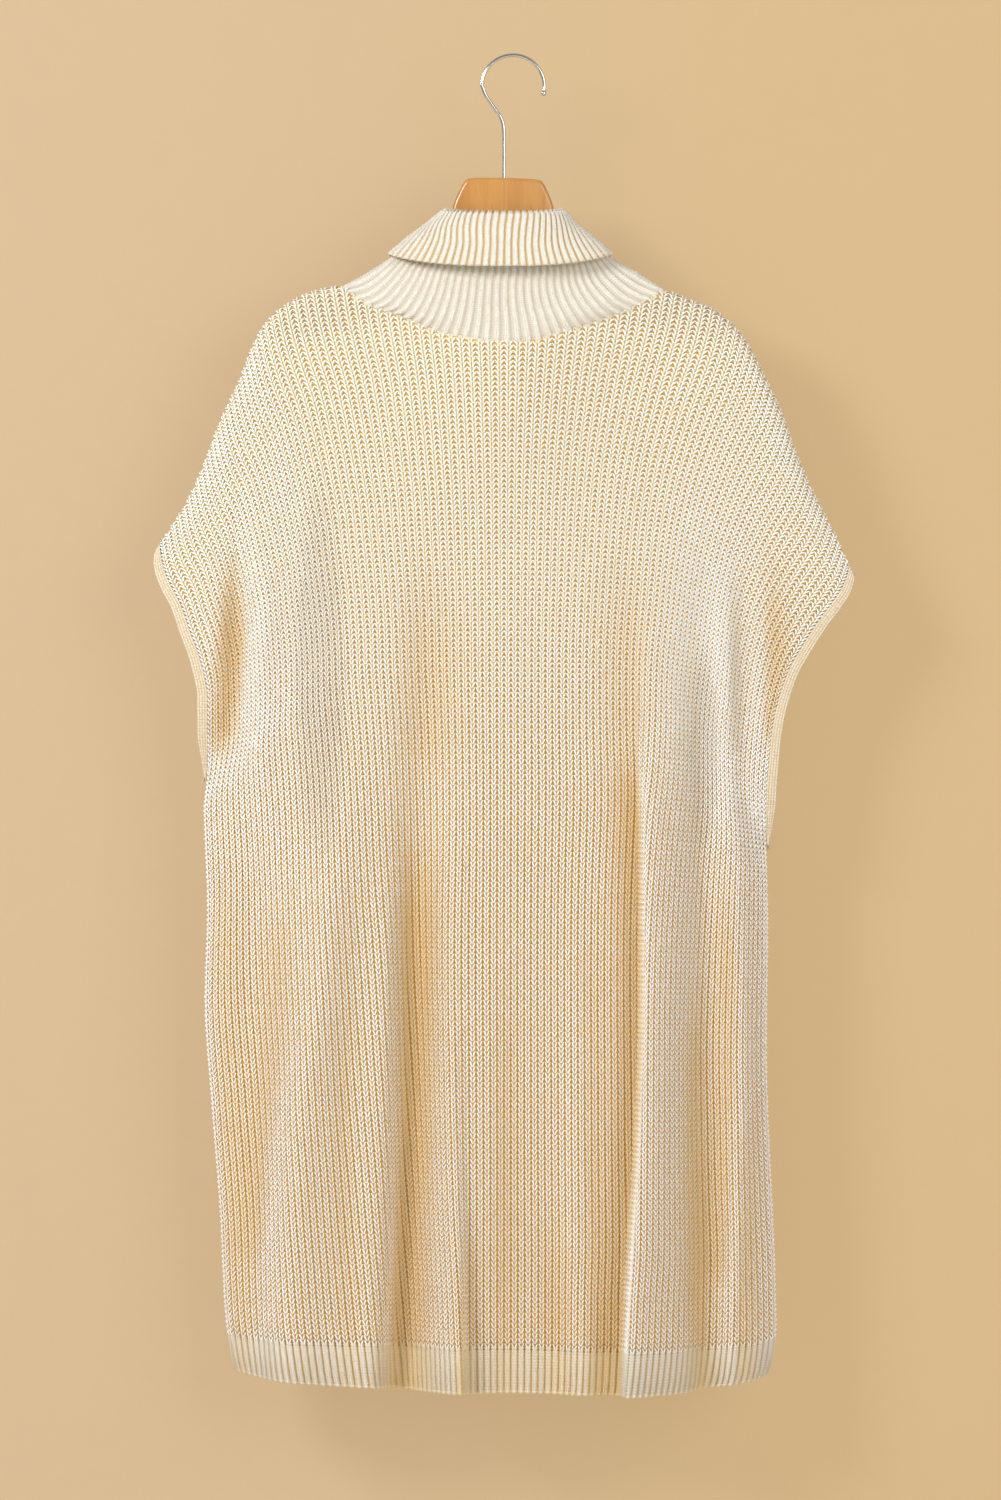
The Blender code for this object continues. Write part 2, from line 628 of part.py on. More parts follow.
def build():
    """Makes every piece of the tunic and its hanger."""
    for piece in list(bpy.data.objects):
        bpy.data.objects.remove(piece)
    collection = bpy.data.collections.new("tunic_sweater_on_hanger")
    cutters = bpy.data.collections.new("cutters")
    bpy.context.scene.collection.children.link(collection)
    bpy.context.scene.collection.children.link(cutters)
    knit = material("cream knit", (0.86, 0.77, 0.60), 0.95)
    ribbed = material("cream rib", (0.88, 0.80, 0.64), 0.95)
    wood = material("beech", (0.62, 0.36, 0.14), 0.45)
    steel = material("polished steel", (0.62, 0.61, 0.60), 0.2, 1.0)
    cloth_grid("back_panel", panel_points(True), knit, collection, flip=True)
    cloth_grid("front_panel", panel_points(False), knit, collection)
    cloth_grid("back_hem_rib", hem_points(True), ribbed, collection, flip=True)
    cloth_grid("front_hem_rib", hem_points(False), ribbed, collection)
    cloth_grid("collar", collar_points(), ribbed, collection, tube=True)
    cloth_grid("armhole_band_left", band_points(LEFT), ribbed, collection, tube=True, flip=True)
    cloth_grid("armhole_band_right", band_points(RIGHT), ribbed, collection, tube=True)
    build_wood(wood, collection, cutters)
    build_hook(steel, collection)


build()
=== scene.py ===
"""Looks of a cream knitted tunic on its wooden hanger.

The cloth repeats the shape of the part: the tables are in millimetres, with x measured
from the hook's shaft, and the objects in metres. A panel is knitted in half-cardigan
stitch: each stitch is a V of two legs, and a round hole lies between two wales.
"""

import math

import bmesh
import bpy
import numpy as np
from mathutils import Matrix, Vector

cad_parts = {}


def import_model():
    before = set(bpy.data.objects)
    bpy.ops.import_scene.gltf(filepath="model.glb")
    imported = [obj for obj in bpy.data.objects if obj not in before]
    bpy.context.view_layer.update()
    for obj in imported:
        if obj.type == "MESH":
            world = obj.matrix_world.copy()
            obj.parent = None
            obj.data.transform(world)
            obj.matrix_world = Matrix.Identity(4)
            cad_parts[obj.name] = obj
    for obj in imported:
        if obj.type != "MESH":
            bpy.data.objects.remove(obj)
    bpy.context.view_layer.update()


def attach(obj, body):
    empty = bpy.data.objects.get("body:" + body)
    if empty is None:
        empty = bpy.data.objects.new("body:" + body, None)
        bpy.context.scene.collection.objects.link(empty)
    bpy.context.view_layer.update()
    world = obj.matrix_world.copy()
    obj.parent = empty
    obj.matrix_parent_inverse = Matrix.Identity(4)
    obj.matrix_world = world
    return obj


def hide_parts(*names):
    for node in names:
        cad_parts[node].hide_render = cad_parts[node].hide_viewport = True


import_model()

MM = 0.001
SHAFT_X = -7.65  # of the hook's shaft, from the inside of its crown

# ---- outline of the tunic ----
# Columns: x, z. From the neck point, over the shoulder, to the tip of the sleeve.
SHOULDER_LEFT = (
    (-137, -194), (-164, -200), (-195, -218), (-210, -238), (-225, -275), (-241, -309),
    (-255, -346), (-270, -379), (-284, -401), (-293, -415),
)
SHOULDER_RIGHT = (
    (137, -197.8), (146, -201.5), (175, -213), (190, -223), (205, -240), (218, -264),
    (235, -300), (251, -343), (265, -374), (282, -407), (294, -434),
)
# Columns: z, x. Down the armhole, inside its band, then down the side to the hem.
EDGE_LEFT = (
    (-415, -293), (-432, -290), (-448, -284), (-465, -275), (-488, -267), (-513, -258),
    (-545, -252), (-591, -252), (-616, -253), (-640, -255), (-668, -254),
    (-720, -252), (-802, -254), (-893, -248), (-983, -241), (-1063, -237), (-1105, -231),
    (-1131, -224),
)
EDGE_RIGHT = (
    (-434, 294), (-450, 288), (-464, 279), (-480, 267), (-500, 254), (-526, 240),
    (-564, 229), (-587, 226), (-640, 222.5), (-680, 223), (-737, 224),
    (-847, 223), (-961, 227), (-1029, 230), (-1080, 231), (-1110, 227), (-1135, 214),
)
UNDERARM_LEFT_Z = -615.0
UNDERARM_RIGHT_Z = -672.0
NECK_TOP_Z = -183.0
HEM_TOP_Z = -1095.0
HEM_RIB = 36.0
HEM_LAP = 4.0  # the rib starts this far up behind the panel
HEM_BEAD = 1.4  # height of the rolled edge
# Columns: x, z. The seam between the collar and each panel.
NECK_SEAM_BACK = (
    (-137, -194), (-126, -205), (-114, -212), (-88, -221), (-58, -234), (-41, -238), (0, -243),
    (27, -241), (48, -235), (70, -229), (90, -222), (110, -213), (126, -204), (137, -197.8),
)
NECK_SEAM_FRONT = (
    (-137, -194), (-126, -208), (-112, -218), (-88, -233), (-45, -253), (0, -260),
    (45, -252), (88, -232), (112, -217), (126, -207), (137, -197.8),
)

# ---- how the knitting lies ----
WALES = 98  # across a panel
ROWS = 211  # courses from the line of the neck point to the hem's rib
ROW_SETTLE = 42.0  # courses over which the shoulder's slope fades out of the rows
NECK_WALE = 0.317  # share of the wales, from the middle to the neck point
# Columns: wale share, courses lost to the slope of the shoulder.
SHOULDER_SLOPE = ((0.0, 0), (NECK_WALE, 0), (0.46, 4), (0.61, 12), (0.79, 25), (1.0, 41))
# Columns: share of the length, how far the wales still spread like the shoulder line.
SPREAD_LEFT = ((0.0, 1.0), (0.1, 0.78), (0.2, 0.56), (0.38, 0.27), (0.62, 0.08), (1.0, -0.04))
SPREAD_RIGHT = ((0.0, 1.0), (0.1, 0.84), (0.2, 0.70), (0.38, 0.48), (0.62, 0.12), (1.0, -0.03))
# Columns: wale share, how much lower than the middle the hem hangs there.
HEM_DROP = (
    (-1.0, -9), (-0.8, -4), (-0.3, 1), (0.0, 2), (0.3, 4), (0.6, 4), (0.9, -1), (1.0, -7),
)

# ---- depth of the tunic ----
# Columns: z, half depth at the middle of the panel, without its folds.
BACK_DEPTH = (
    (-183, 14), (-260, 15), (-400, 21), (-600, 30), (-800, 36), (-1000, 40), (-1135, 42),
)
FRONT_DEPTH = (
    (-183, 14), (-260, 15), (-400, 19), (-600, 25), (-800, 28), (-1000, 30), (-1135, 31),
)
LENS_POWER = ((-183, 7), (-290, 6), (-480, 3.2), (-700, 2.5), (-1135, 2.5))
EDGE_SHARE = 6  # power by which the edges' gap opens towards them
CALM_SHARE = 8  # power by which the folds fade towards the edges
NECK_BULGE = 16.0  # the collar pushes the panels out under the neckline
NECK_BULGE_WIDTH = 78.0
NECK_BULGE_Z = (-250.0, -430.0)
SHOULDER_LIP = 4.6  # width of the flat over the hanger's arm, from the shoulder seam
LIP_LENGTH = 1 / ROWS  # the same as a share of a wale's length
SHOULDER_ROUND = 6.5  # height of the rounding below the flat
LEAST_DEPTH = 4.0  # no fold brings a panel nearer to the middle
ARMHOLE_HALF = 12.0
ARMHOLE_OPENS = (-5.0, 55.0)  # heights over the underarm
HALF_GAP = 0.15  # half of the gap between the panels at their side seams
BAND_WIDTH = 8.5
BAND_TURN = 14.0  # the band turns with the sleeve's tip this far below it
LOW_BAND = 40.0  # height over the underarm where the band starts to narrow
LOW_BAND_NARROWER = 0.65
TIP_SLOPE = (0.5, -0.87)
WALL = 3.0
MID_Z = -800.0
LOW_Z = -1130.0
# Columns: x and z where the fold starts, x at mid height, x at the hem, rise at mid
# height, rise at the hem, width to its left, width to its right, sideways lean.
BACK_FOLDS = (
    (-213, -600, -214, -205, -9, -6, 16, 18, 0),
    (-125, -560, -160, -186, 11, 17, 34, 30, 0),
    (-62, -400, -77, -89, -17, -27, 19, 24, 0),
    (-48, -600, -51, -46, 7, 16, 13, 12, 9),
    (30, -600, 33, 35, -5, -15, 52, 50, 0),
    (62, -760, 64, 65, 1, 6, 16, 16, 0),
    (124, -400, 131, 117, 17, 24, 12, 36, -13),
    (166, -400, 171, 176, -12, -13, 13, 14, 0),
    (194, -450, 199, 203, 8, 7, 13, 12, 0),
)
FRONT_FOLDS = (
    (-190, -600, -192, -190, -7, -9, 18, 18, 0),
    (-130, -500, -138, -146, 7, 10, 26, 28, 0),
    (-52, -520, -58, -66, -8, -12, 24, 26, 0),
    (8, -560, 4, 0, 5, 8, 28, 28, 0),
    (74, -500, 72, 70, -8, -12, 22, 26, 0),
    (138, -480, 140, 142, 8, 10, 26, 22, 0),
    (192, -560, 190, 188, -6, -8, 16, 16, 0),
)
# Columns: x and z of the upper end, x and z of the lower end, rise, width to its
# left, width to its right. These run from the sleeve into the body.
SLEEVE_FOLDS = (
    (-222, -370, -238, -660, -9, 9, 17),
    (-234, -400, -256, -580, 5, 9, 8),
    (-196, -380, -212, -640, 4, 14, 12),
    (206, -390, 207, -700, -10, 13, 10),
    (188, -400, 190, -680, 5, 10, 10),
    (232, -420, 226, -640, 4, 12, 14),
)

# Small folds, back: points x, z down a line, width to its left, width to its right, rise.
# A fold that falls in also shades the cloth, and one that stands out lights it up.
BACK_CREASES = (
    (((-228, -400), (-226, -496), (-235, -564), (-240, -610)), 16, 9, -5.0),
    (((-240, -640), (-235, -887), (-224, -1090)), 9, 14, -2.0),
    (((-186, -680), (-195, -844), (-206, -929), (-216, -1040)), 16, 12, -2.6),
    (((-129, -760), (-135, -929), (-129, -1100)), 9, 12, -1.8),
    (((-82, -640), (-77, -717), (-78, -844), (-82, -972), (-88, -1125)), 9, 25, -5.5),
    (((110, -540), (114, -674), (115, -802), (110, -929), (100, -1056), (96, -1130)), 21, 3, -6.0),
    (((226, -400), (230, -496), (224, -610)), 9, 15, -4.5),
    (((185, -660), (190, -802), (185, -929), (180, -1060)), 13, 10, -3.4),
    (((163, -760), (161, -972), (167, -1100)), 11, 12, -3.6),
    (((222, -850), (202, -946), (200, -1095)), 4, 13, -3.2),
    (((-62, -410), (-62, -620)), 20, 30, -2.0),
    (((106, -400), (108, -600)), 24, 16, -2.2),
    (((-31, -960), (-36, -1128)), 3, 15, -3.6),
    (((40, -960), (45, -1125)), 14, 14, -2.8),
    (((4, -760), (0, -1125)), 10, 14, -2.0),
    (((76, -700), (80, -1125)), 12, 10, -1.8),
    (((-214, -350), (-214, -520), (-206, -720)), 8, 20, 4.0),
    (((-142, -640), (-156, -802), (-173, -887), (-188, -1014), (-197, -1125)), 12, 17, 5.0),
    (((-98, -680), (-98, -972), (-105, -1125)), 12, 5, 4.5),
    (((125, -560), (129, -893), (113, -1125)), 6, 15, 4.5),
    (((212, -400), (213, -660)), 8, 8, 4.0),
    (((201, -700), (205, -900), (190, -1100)), 7, 7, 3.0),
)
# The same for the front, which the picture hides: the back's, the other way round.
FRONT_CREASE_SHARE = 0.8
FRONT_SLEEVE_SHARE = 0.7
FRONT_CREASES = tuple(
    (tuple((-x, z) for x, z in line), right, left, FRONT_CREASE_SHARE * rise)
    for line, left, right, rise in BACK_CREASES
)
CREASE_STARTS, CREASE_ENDS = 110, 45  # heights over which a small fold comes and goes
SHADE_OF_FALL, LIGHT_OF_RISE = 1 / 6, 0.08  # for a millimetre
CREASE_SHADE = 0.95  # share of the small folds' shade in the yarn's
FOLD_SHADE, MOST_FOLD_SHADE = 1 / 60, 0.15  # for a millimetre of a large fold
LEE_SHADE, MOST_LEE_SHADE = 0.2, 0.35  # for the slope that faces away from the light
# Painted shade: the holes look dark where the shaded inside shows through them, in thin places and, with
# the hanger's wood, over its arms. Thin places: x, z, half width, half height.
THIN_DARK, WOOD_DARK = 0.75, 0.5  # how dark the holes are there and over the hanger
THIN_YARN = 0.36  # how much narrower the strands are there
THIN_PLACES = ((-156, -520, 26, 175), (169, -592, 15, 96))

# ---- collar ----
# Columns: half width left, half width right, z at the sides, z behind, z in front,
# half depth behind, half depth in front, how the ribs crowd towards the two sides.
COLLAR_RINGS = (
    (121, 118, -186.5, -228, -244, 28, 28.5, 0.1),
    (99, 94, -172.5, -207, -222, 25, 25, 0.4),
    (76, 73, -154, -178, -190, 22.5, 22.5, 0.9),
    (56, 54, -139, -147, -152, 19.5, 19.5, 1.4),
    (49.8, 49.0, -133.5, -136.5, -139, 18, 18, 1.6),
    (51.0, 50.2, -131.2, -134.4, -137, 19.4, 19.4, 1.6),
    (52.4, 51.6, -133.4, -136.4, -139, 21, 21, 1.6),
    (64, 60, -143, -147.5, -152, 25.5, 25.5, 1.2),
    (80, 75, -155, -163, -168, 30, 30, 0.6),
    (97, 91, -169, -180.5, -186, 35, 35, 0.15),
)
COLLAR_SQUARENESS = 0.8
COLLAR_CREST = 5.0  # place of the fold's crest, counted in rings
COLLAR_RIBS = 35  # on each half of the tube
RIB_STEPS = 6  # columns of a rib
COLLAR_SEAM_DROP = 0.9  # the tube starts this far under the neckline
SEAM_CROWD = 0.05  # the ribs lie evenly there
COLLAR_ROWS = 46

# ---- hanger ----
WOOD_THICK = 14.5
WOOD_ROUND = 3.4
HANGER_TILT = math.radians(1.3)
WOOD_TOP_Z = -103.0
ARM_TOP = (
    (0, -103), (20, -103.3), (31, -104.5), (34, -107.5), (38.4, -116), (42.5, -126.5), (45, -139),
    (56, -153), (78, -176), (108, -199), (137, -205.8), (162, -209.3), (178, -216.6),
    (187, -224), (190, -232),
)
ARM_BOTTOM = ((187, -237.5), (178, -239.5), (150, -233), (105, -226), (55, -217), (0, -212))
HOOK_WIRE = 1.6
HOOK_BALL = 2.5
HOOK_CROWN_X = 7.65
HOOK_INSIDE = 25.0  # radius
HOOK_RADIUS = HOOK_INSIDE + HOOK_WIRE
HOOK_SHAFT = (
    (0, -130), (0, -110), (0, -90), (0, -72), (-0.4, -60), (-2.5, -52), (-6.8, -45.5), (-12, -38),
    (-16, -31.5), (-18.3, -25.5),
)
HOOK_END_ANGLE = math.radians(-8)

# ---- the yarn ----
# Rows of a panel's sheet, as shares of its length: closer together at the shoulder seam.
SHEET_ROWS = np.concatenate([[0, 0.0023, 0.0047, 0.008], np.linspace(0.0145, 1, 76)])
SHEET_DEPTH = 1.3  # the sheet lies this far under the stitches' outer face
SHEET_WALL = 1.1
COLLAR_WALL, HEM_WALL, BAND_WALL = 1.3, 1.5, 2.2
LEG_HEIGHT = 0.75
# A leg of the V, seen from the stitch's middle: place across in wales and down in
# courses, and height over the cloth. Rows: its foot, its belly and its upper end, then
# its half width, as a fixed part and a share of the wale.
BODY_LEG = ((0.08, 0.62, -0.7), (0.20, 0.10, 0.2), (0.48, -0.46, -1.2), (0.28, 0.050))
LOW_LEG = ((0.06, 0.62, -0.8), (0.20, 0.10, 0.3), (0.38, -0.44, -1.2), (0.32, 0.060))
LOW_Z_RANGE = (-400.0, -700.0)  # BODY_LEG turns into LOW_LEG between these heights
STAND_LEG = ((0.03, 0.62, -0.6), (0.10, 0.06, 0.0), (0.14, -0.50, -0.6), (0.25, 0.035))
FLAP_LEG = ((0.06, 0.64, -0.6), (0.18, 0.08, 0.0), (0.26, -0.50, -0.7), (0.28, 0.065))
SEAM_LEG = ((0.02, 0.32, -0.4), (0.10, 0.0, 0.3), (0.22, -0.32, -0.5), (0.32, 0.050))
UNEVEN_COURSE, UNEVEN_HEIGHT, UNEVEN_WIDTH = 0.035, 0.08, 0.07
BODY_BRIDGE = 0.15  # added shade of a leg's upper end, under the next stitch
RIB_ROW = 2.6  # height of a course in the ribs and bands
RIB_RISE = 0.8  # height of a rib over its grooves
BAND_WALES = 4  # across an armhole's band
BAND_SHADE = 0.3
# Painted shade: the hem's yarn is darker towards its edge.
HEM_TONE = 1.3  # of the yarn at the hem's upper end, falling to 0 at its edge


def smooth(at, rows):
    """Smooth curve through a table's first two columns."""
    at = np.asarray(at, float)
    xs = np.array([row[0] for row in rows], float)
    ys = np.array([row[1] for row in rows], float)
    if xs[0] > xs[-1]:
        xs, ys = xs[::-1], ys[::-1]
    step = np.diff(xs)
    rise = np.diff(ys) / step
    slope = np.empty(len(xs))
    slope[0] = rise[0]
    slope[-1] = rise[-1]
    same_way = rise[:-1] * rise[1:] > 0
    mean = 2 * rise[:-1] * rise[1:] / np.where(same_way, rise[:-1] + rise[1:], 1)
    slope[1:-1] = np.where(same_way, mean, 0)
    k = np.clip(np.searchsorted(xs, at) - 1, 0, len(step) - 1)
    t = np.clip((at - xs[k]) / step[k], 0, 1)
    a = (1 + 2 * t) * (1 - t) ** 2 * ys[k] + t * t * (3 - 2 * t) * ys[k + 1]
    b = t * (1 - t) ** 2 * slope[k] - t * t * (1 - t) * slope[k + 1]
    return a + b * step[k]


def ease(at, start, end):
    """0 before start, 1 after end, smooth between."""
    t = np.clip((np.asarray(at, float) - start) / (end - start), 0, 1)
    return t * t * (3 - 2 * t)


def quarter(t):
    """Quarter of a circle from 0 to 1."""
    t = np.clip(t, 0, 1)
    return np.sqrt(1 - (1 - t) ** 2)


def unit(vectors):
    """Vectors of length 1."""
    return vectors / np.maximum(np.linalg.norm(vectors, axis=-1, keepdims=True), 1e-9)


def lengths_along(points):
    """Length from the first point of a line to each of its points."""
    steps = np.linalg.norm(np.diff(points, axis=0), axis=1)
    return np.concatenate([[0], np.cumsum(steps)])


def smooth_route(points):
    """Smooth curve through points of two columns."""
    knots = np.linspace(0, 1, len(points))
    along = np.linspace(0, 1, 60)
    return np.stack([smooth(along, list(zip(knots, column))) for column in zip(*points)], axis=1)


def crossings(courses, wales):
    """The course and the wale of every stitch of a grid."""
    return (places.ravel() for places in np.meshgrid(courses, wales, indexing="ij"))


class Side:
    """The left (-1) or right (+1) half of the outline, with x counted outwards."""

    def __init__(self, sign, shoulder, edge, spread, underarm):
        self.sign = sign
        points = np.array([(0, NECK_TOP_Z)] + [(abs(x), z) for x, z in shoulder], float)
        lengths = np.hypot(*np.diff(points, axis=0).T)
        out = np.concatenate([[0], np.cumsum(lengths[1:])]) / lengths[1:].sum()
        wales = np.concatenate([[0], NECK_WALE + (1 - NECK_WALE) * out])
        self.line_x = list(zip(wales, points[:, 0]))
        self.line_z = list(zip(wales, points[:, 1]))
        self.tip_x, self.tip_z = points[-1]
        self.edge = [(z, abs(x)) for z, x in edge]
        self.spread = spread
        self.underarm = underarm
        lengths = np.linspace(0, 1, 400)
        self.underarm_length = float(np.interp(-self.underarm, -self.height(1.0, lengths), lengths))

    def shoulder(self, wale):
        """x, z and steepness of the shoulder line at a share of the wales."""
        x = smooth(wale, self.line_x)
        z = smooth(wale, self.line_z)
        ahead = np.minimum(wale + 0.01, 1)
        behind = np.maximum(wale - 0.01, 0)
        run = smooth(ahead, self.line_x) - smooth(behind, self.line_x)
        fall = smooth(behind, self.line_z) - smooth(ahead, self.line_z)
        return x, z, run / np.hypot(run, fall)

    def height(self, wale, length):
        """z of a wale at a share of its length; past 1 it is in the hem's rib."""
        line_z = self.shoulder(wale)[1]
        lost = smooth(wale, SHOULDER_SLOPE)
        row = lost + length * (ROWS - lost)
        pitch = (NECK_TOP_Z - HEM_TOP_Z) / ROWS
        slope = NECK_TOP_Z - pitch * lost - line_z
        settle = np.exp(-(row - lost) / ROW_SETTLE)
        hem = smooth(self.sign * wale, HEM_DROP) * ease(length, 0.3, 1)
        return NECK_TOP_Z - pitch * row - slope * settle - hem

    def edge_x(self, z):
        """x of the panel's outer edge: the armhole's, then the side seam's."""
        return smooth(z, self.edge)

    def armhole(self, z):
        """Half the width of the armhole at a height, 0 below the underarm."""
        above = np.clip(self.tip_z - z, 0, None)
        below = np.clip(z - self.underarm, 0, None)
        share = above * below / ((self.tip_z - self.underarm) / 2) ** 2
        width = SHOULDER_LIP + (ARMHOLE_HALF - SHOULDER_LIP) * np.clip(share, 0, 1) ** 0.7
        low, high = ARMHOLE_OPENS
        return width * ease(z, self.underarm + low, self.underarm + high)


LEFT = Side(-1, SHOULDER_LEFT, EDGE_LEFT, SPREAD_LEFT, UNDERARM_LEFT_Z)
RIGHT = Side(1, SHOULDER_RIGHT, EDGE_RIGHT, SPREAD_RIGHT, UNDERARM_RIGHT_Z)


def bell(x, middle, left, right):
    """Soft ridge across a fold, 1 at its middle."""
    width = np.where(x < middle, left, right)
    return np.exp(-(((x - middle) / width) ** 2))


def fold_shape(x, z, back):
    """Rise outwards and shift sideways that the folds give a point of a panel."""
    rise = np.zeros_like(x)
    shift = np.zeros_like(x)
    for x0, z0, x_mid, x_low, r_mid, r_low, left, right, lean in BACK_FOLDS if back else FRONT_FOLDS:
        middle = smooth(z, ((z0, x0), (MID_Z, x_mid), (LOW_Z, x_low)))
        height = smooth(z, ((z0, 0.0), (MID_Z, r_mid), (LOW_Z, r_low)))
        here = bell(x, middle, left, right)
        rise += height * here
        shift += lean * height / r_low * here
    for x0, z0, x1, z1, height, left, right in SLEEVE_FOLDS:
        t = np.clip((z - z0) / (z1 - z0), 0, 1)
        here = bell(x, x0 + (x1 - x0) * t, left, right)
        rise += height * (1 if back else FRONT_SLEEVE_SHARE) * here * np.sin(math.pi * t) ** 2
    return rise, shift


def crease_shape(x, z, back):
    """Rise outwards of the small folds, and how far they shade the cloth, from 0 to 1."""
    rise = np.zeros_like(x)
    shade = np.zeros_like(x)
    for line, left, right, height in BACK_CREASES if back else FRONT_CREASES:
        middle = smooth(z, [(z0, x0) for x0, z0 in line])
        top, foot = line[0][1], line[-1][1]
        ends = ease(z, top, top - CREASE_STARTS)
        if foot > HEM_TOP_Z + 10:
            ends = ends * ease(z, foot, foot + CREASE_ENDS)
        here = bell(x, middle, left, right) * ends
        rise += height * here
        shade -= height * (SHADE_OF_FALL if height < 0 else LIGHT_OF_RISE) * here
    return rise, np.clip(shade, 0, 1)


def panel_row(length, wales, back):
    """Points of one row of a panel: the same share of every wale's length."""
    points = np.zeros((len(wales), 3))
    for side in (LEFT, RIGHT):
        here = wales * side.sign >= 0
        fine = np.sin(np.linspace(0, math.pi / 2, 241))
        z_edge = side.height(np.array([1.0]), length)[0]
        x_edge = side.edge_x(z_edge)
        spread = smooth(length, side.spread)
        line_x, line_z, steep = side.shoulder(fine)
        place = (1 - spread) * fine + spread * line_x / side.tip_x
        x = x_edge * place
        z = side.height(fine, length)
        deep = smooth(z, BACK_DEPTH if back else FRONT_DEPTH)
        gap = max(side.armhole(z_edge), HALF_GAP)
        power = 1 - 0.5 * ease(z_edge, side.underarm + 60, side.underarm - 40)
        lens = (1 - np.clip(place, 0, 1) ** smooth(z, LENS_POWER)) ** power
        depth = deep * lens + gap * place ** EDGE_SHARE
        spare = ease(z, NECK_BULGE_Z[1], NECK_BULGE_Z[0])
        depth += NECK_BULGE * spare * np.exp(-((x / NECK_BULGE_WIDTH) ** 2))
        rise, shift = fold_shape(side.sign * x, z, back)
        calm = 1 - place ** CALM_SHARE
        small, _ = crease_shape(side.sign * x, z, back)
        inwards = LEAST_DEPTH - np.maximum(depth, LEAST_DEPTH)
        depth = depth + np.maximum(rise * calm + small * calm, inwards)
        x = x + side.sign * shift * calm
        over = np.clip(line_z - z, 0, None) * steep
        lip = np.minimum(SHOULDER_LIP, depth)
        depth = np.maximum(lip + (depth - lip) * quarter(over / SHOULDER_ROUND), HALF_GAP)
        along = np.concatenate([[0], np.cumsum(np.hypot(np.diff(x), np.diff(depth)))])
        share = np.abs(wales[here])
        line_share = side.shoulder(share)[0] / side.tip_x
        wanted = ((1 - spread) * share + spread * line_share) * along[-1]
        points[here, 0] = side.sign * np.interp(wanted, along, x)
        points[here, 1] = np.interp(wanted, along, depth)
        points[here, 2] = side.height(share, length)
    points[:, 1] *= -1 if back else 1
    return points


def lost_rows(wale):
    """Courses that a wale lacks at the sloping shoulder."""
    return smooth(np.abs(wale), SHOULDER_SLOPE)


class Cloth:
    """A surface known at a grid of rows and columns, with a way to read between them."""

    back = None  # True and False on the two panels and their hems

    def __init__(self, rows, columns, points, outward):
        self.rows = rows
        self.columns = columns
        self.points = points
        down = np.gradient(points, axis=0)
        across = np.gradient(points, axis=1)
        self.normals = unit(np.cross(across, down)) * outward
        self.pitch = np.linalg.norm(across, axis=2) / np.gradient(columns)[None, :]

    def read(self, grid, row, column):
        """Values of a grid at places between its points."""
        i = np.interp(row, self.rows, np.arange(len(self.rows)))
        j = np.interp(column, self.columns, np.arange(len(self.columns)))
        i0 = np.minimum(i.astype(int), len(self.rows) - 2)
        j0 = np.minimum(j.astype(int), len(self.columns) - 2)
        fi = i - i0
        fj = j - j0
        if grid.ndim == 3:
            fi = fi[..., None]
            fj = fj[..., None]
        upper = grid[i0, j0] * (1 - fj) + grid[i0, j0 + 1] * fj
        lower = grid[i0 + 1, j0] * (1 - fj) + grid[i0 + 1, j0 + 1] * fj
        return upper * (1 - fi) + lower * fi

    def row(self, course, wale):
        """The row of a course."""
        return course

    def at(self, row, column, lift=0.0):
        """Points at a height over the surface."""
        place = self.read(self.points, row, column)
        return place + unit(self.read(self.normals, row, column)) * np.asarray(lift)[..., None]


class Panel(Cloth):
    """The back or the front: rows are shares of a wale's length, columns are wales.

    The first row is the shoulder seam, and the flat behind it lies on the hanger's arm."""

    def __init__(self, back):
        self.back = back
        rows = np.concatenate([[-LIP_LENGTH], np.linspace(0, 1, 360) ** 1.3])
        columns = np.linspace(-1, 1, 2 * WALES + 1)
        points = np.array([panel_row(max(row, 0), columns, back) for row in rows])
        points[0, :, 1] = -HALF_GAP if back else HALF_GAP
        super().__init__(rows, columns, points, -1 if back else 1)
        seam = NECK_SEAM_BACK if back else NECK_SEAM_FRONT
        self.start = np.full(len(columns), -LIP_LENGTH)
        for column in np.flatnonzero(np.abs(columns) < NECK_WALE - 1e-6):
            track = points[:, column]
            below_seam = smooth(track[:, 0], seam) - track[:, 2]
            self.start[column] = np.interp(0, below_seam, rows)

    def first(self, wale):
        """Share of the length where a wale starts: at the shoulder seam or the neckline."""
        return np.interp(wale, self.columns, self.start)

    def row(self, course, wale):
        """Share of the length of a course, counted from the line of the neck point."""
        lost = lost_rows(wale)
        return (course - lost) / (ROWS - lost)

    def course(self, length, wale):
        """The course at a share of the length."""
        lost = lost_rows(wale)
        return lost + length * (ROWS - lost)


def world(points):
    """Table coordinates in millimetres to metres, from the hook's crown."""
    return (np.asarray(points, float) + (SHAFT_X, 0, 0)) * MM


# ---- materials ----
def maths(operation, swapped=False):
    """A method that adds a Math node to a value's shader."""
    def method(value, *others):
        numbers = (*others, value) if swapped else (value, *others)
        sockets = dict(enumerate(numbers))
        node = value.shader.add("ShaderNodeMath", {"operation": operation}, sockets)
        return Value(value.shader, node.outputs[0])
    return method


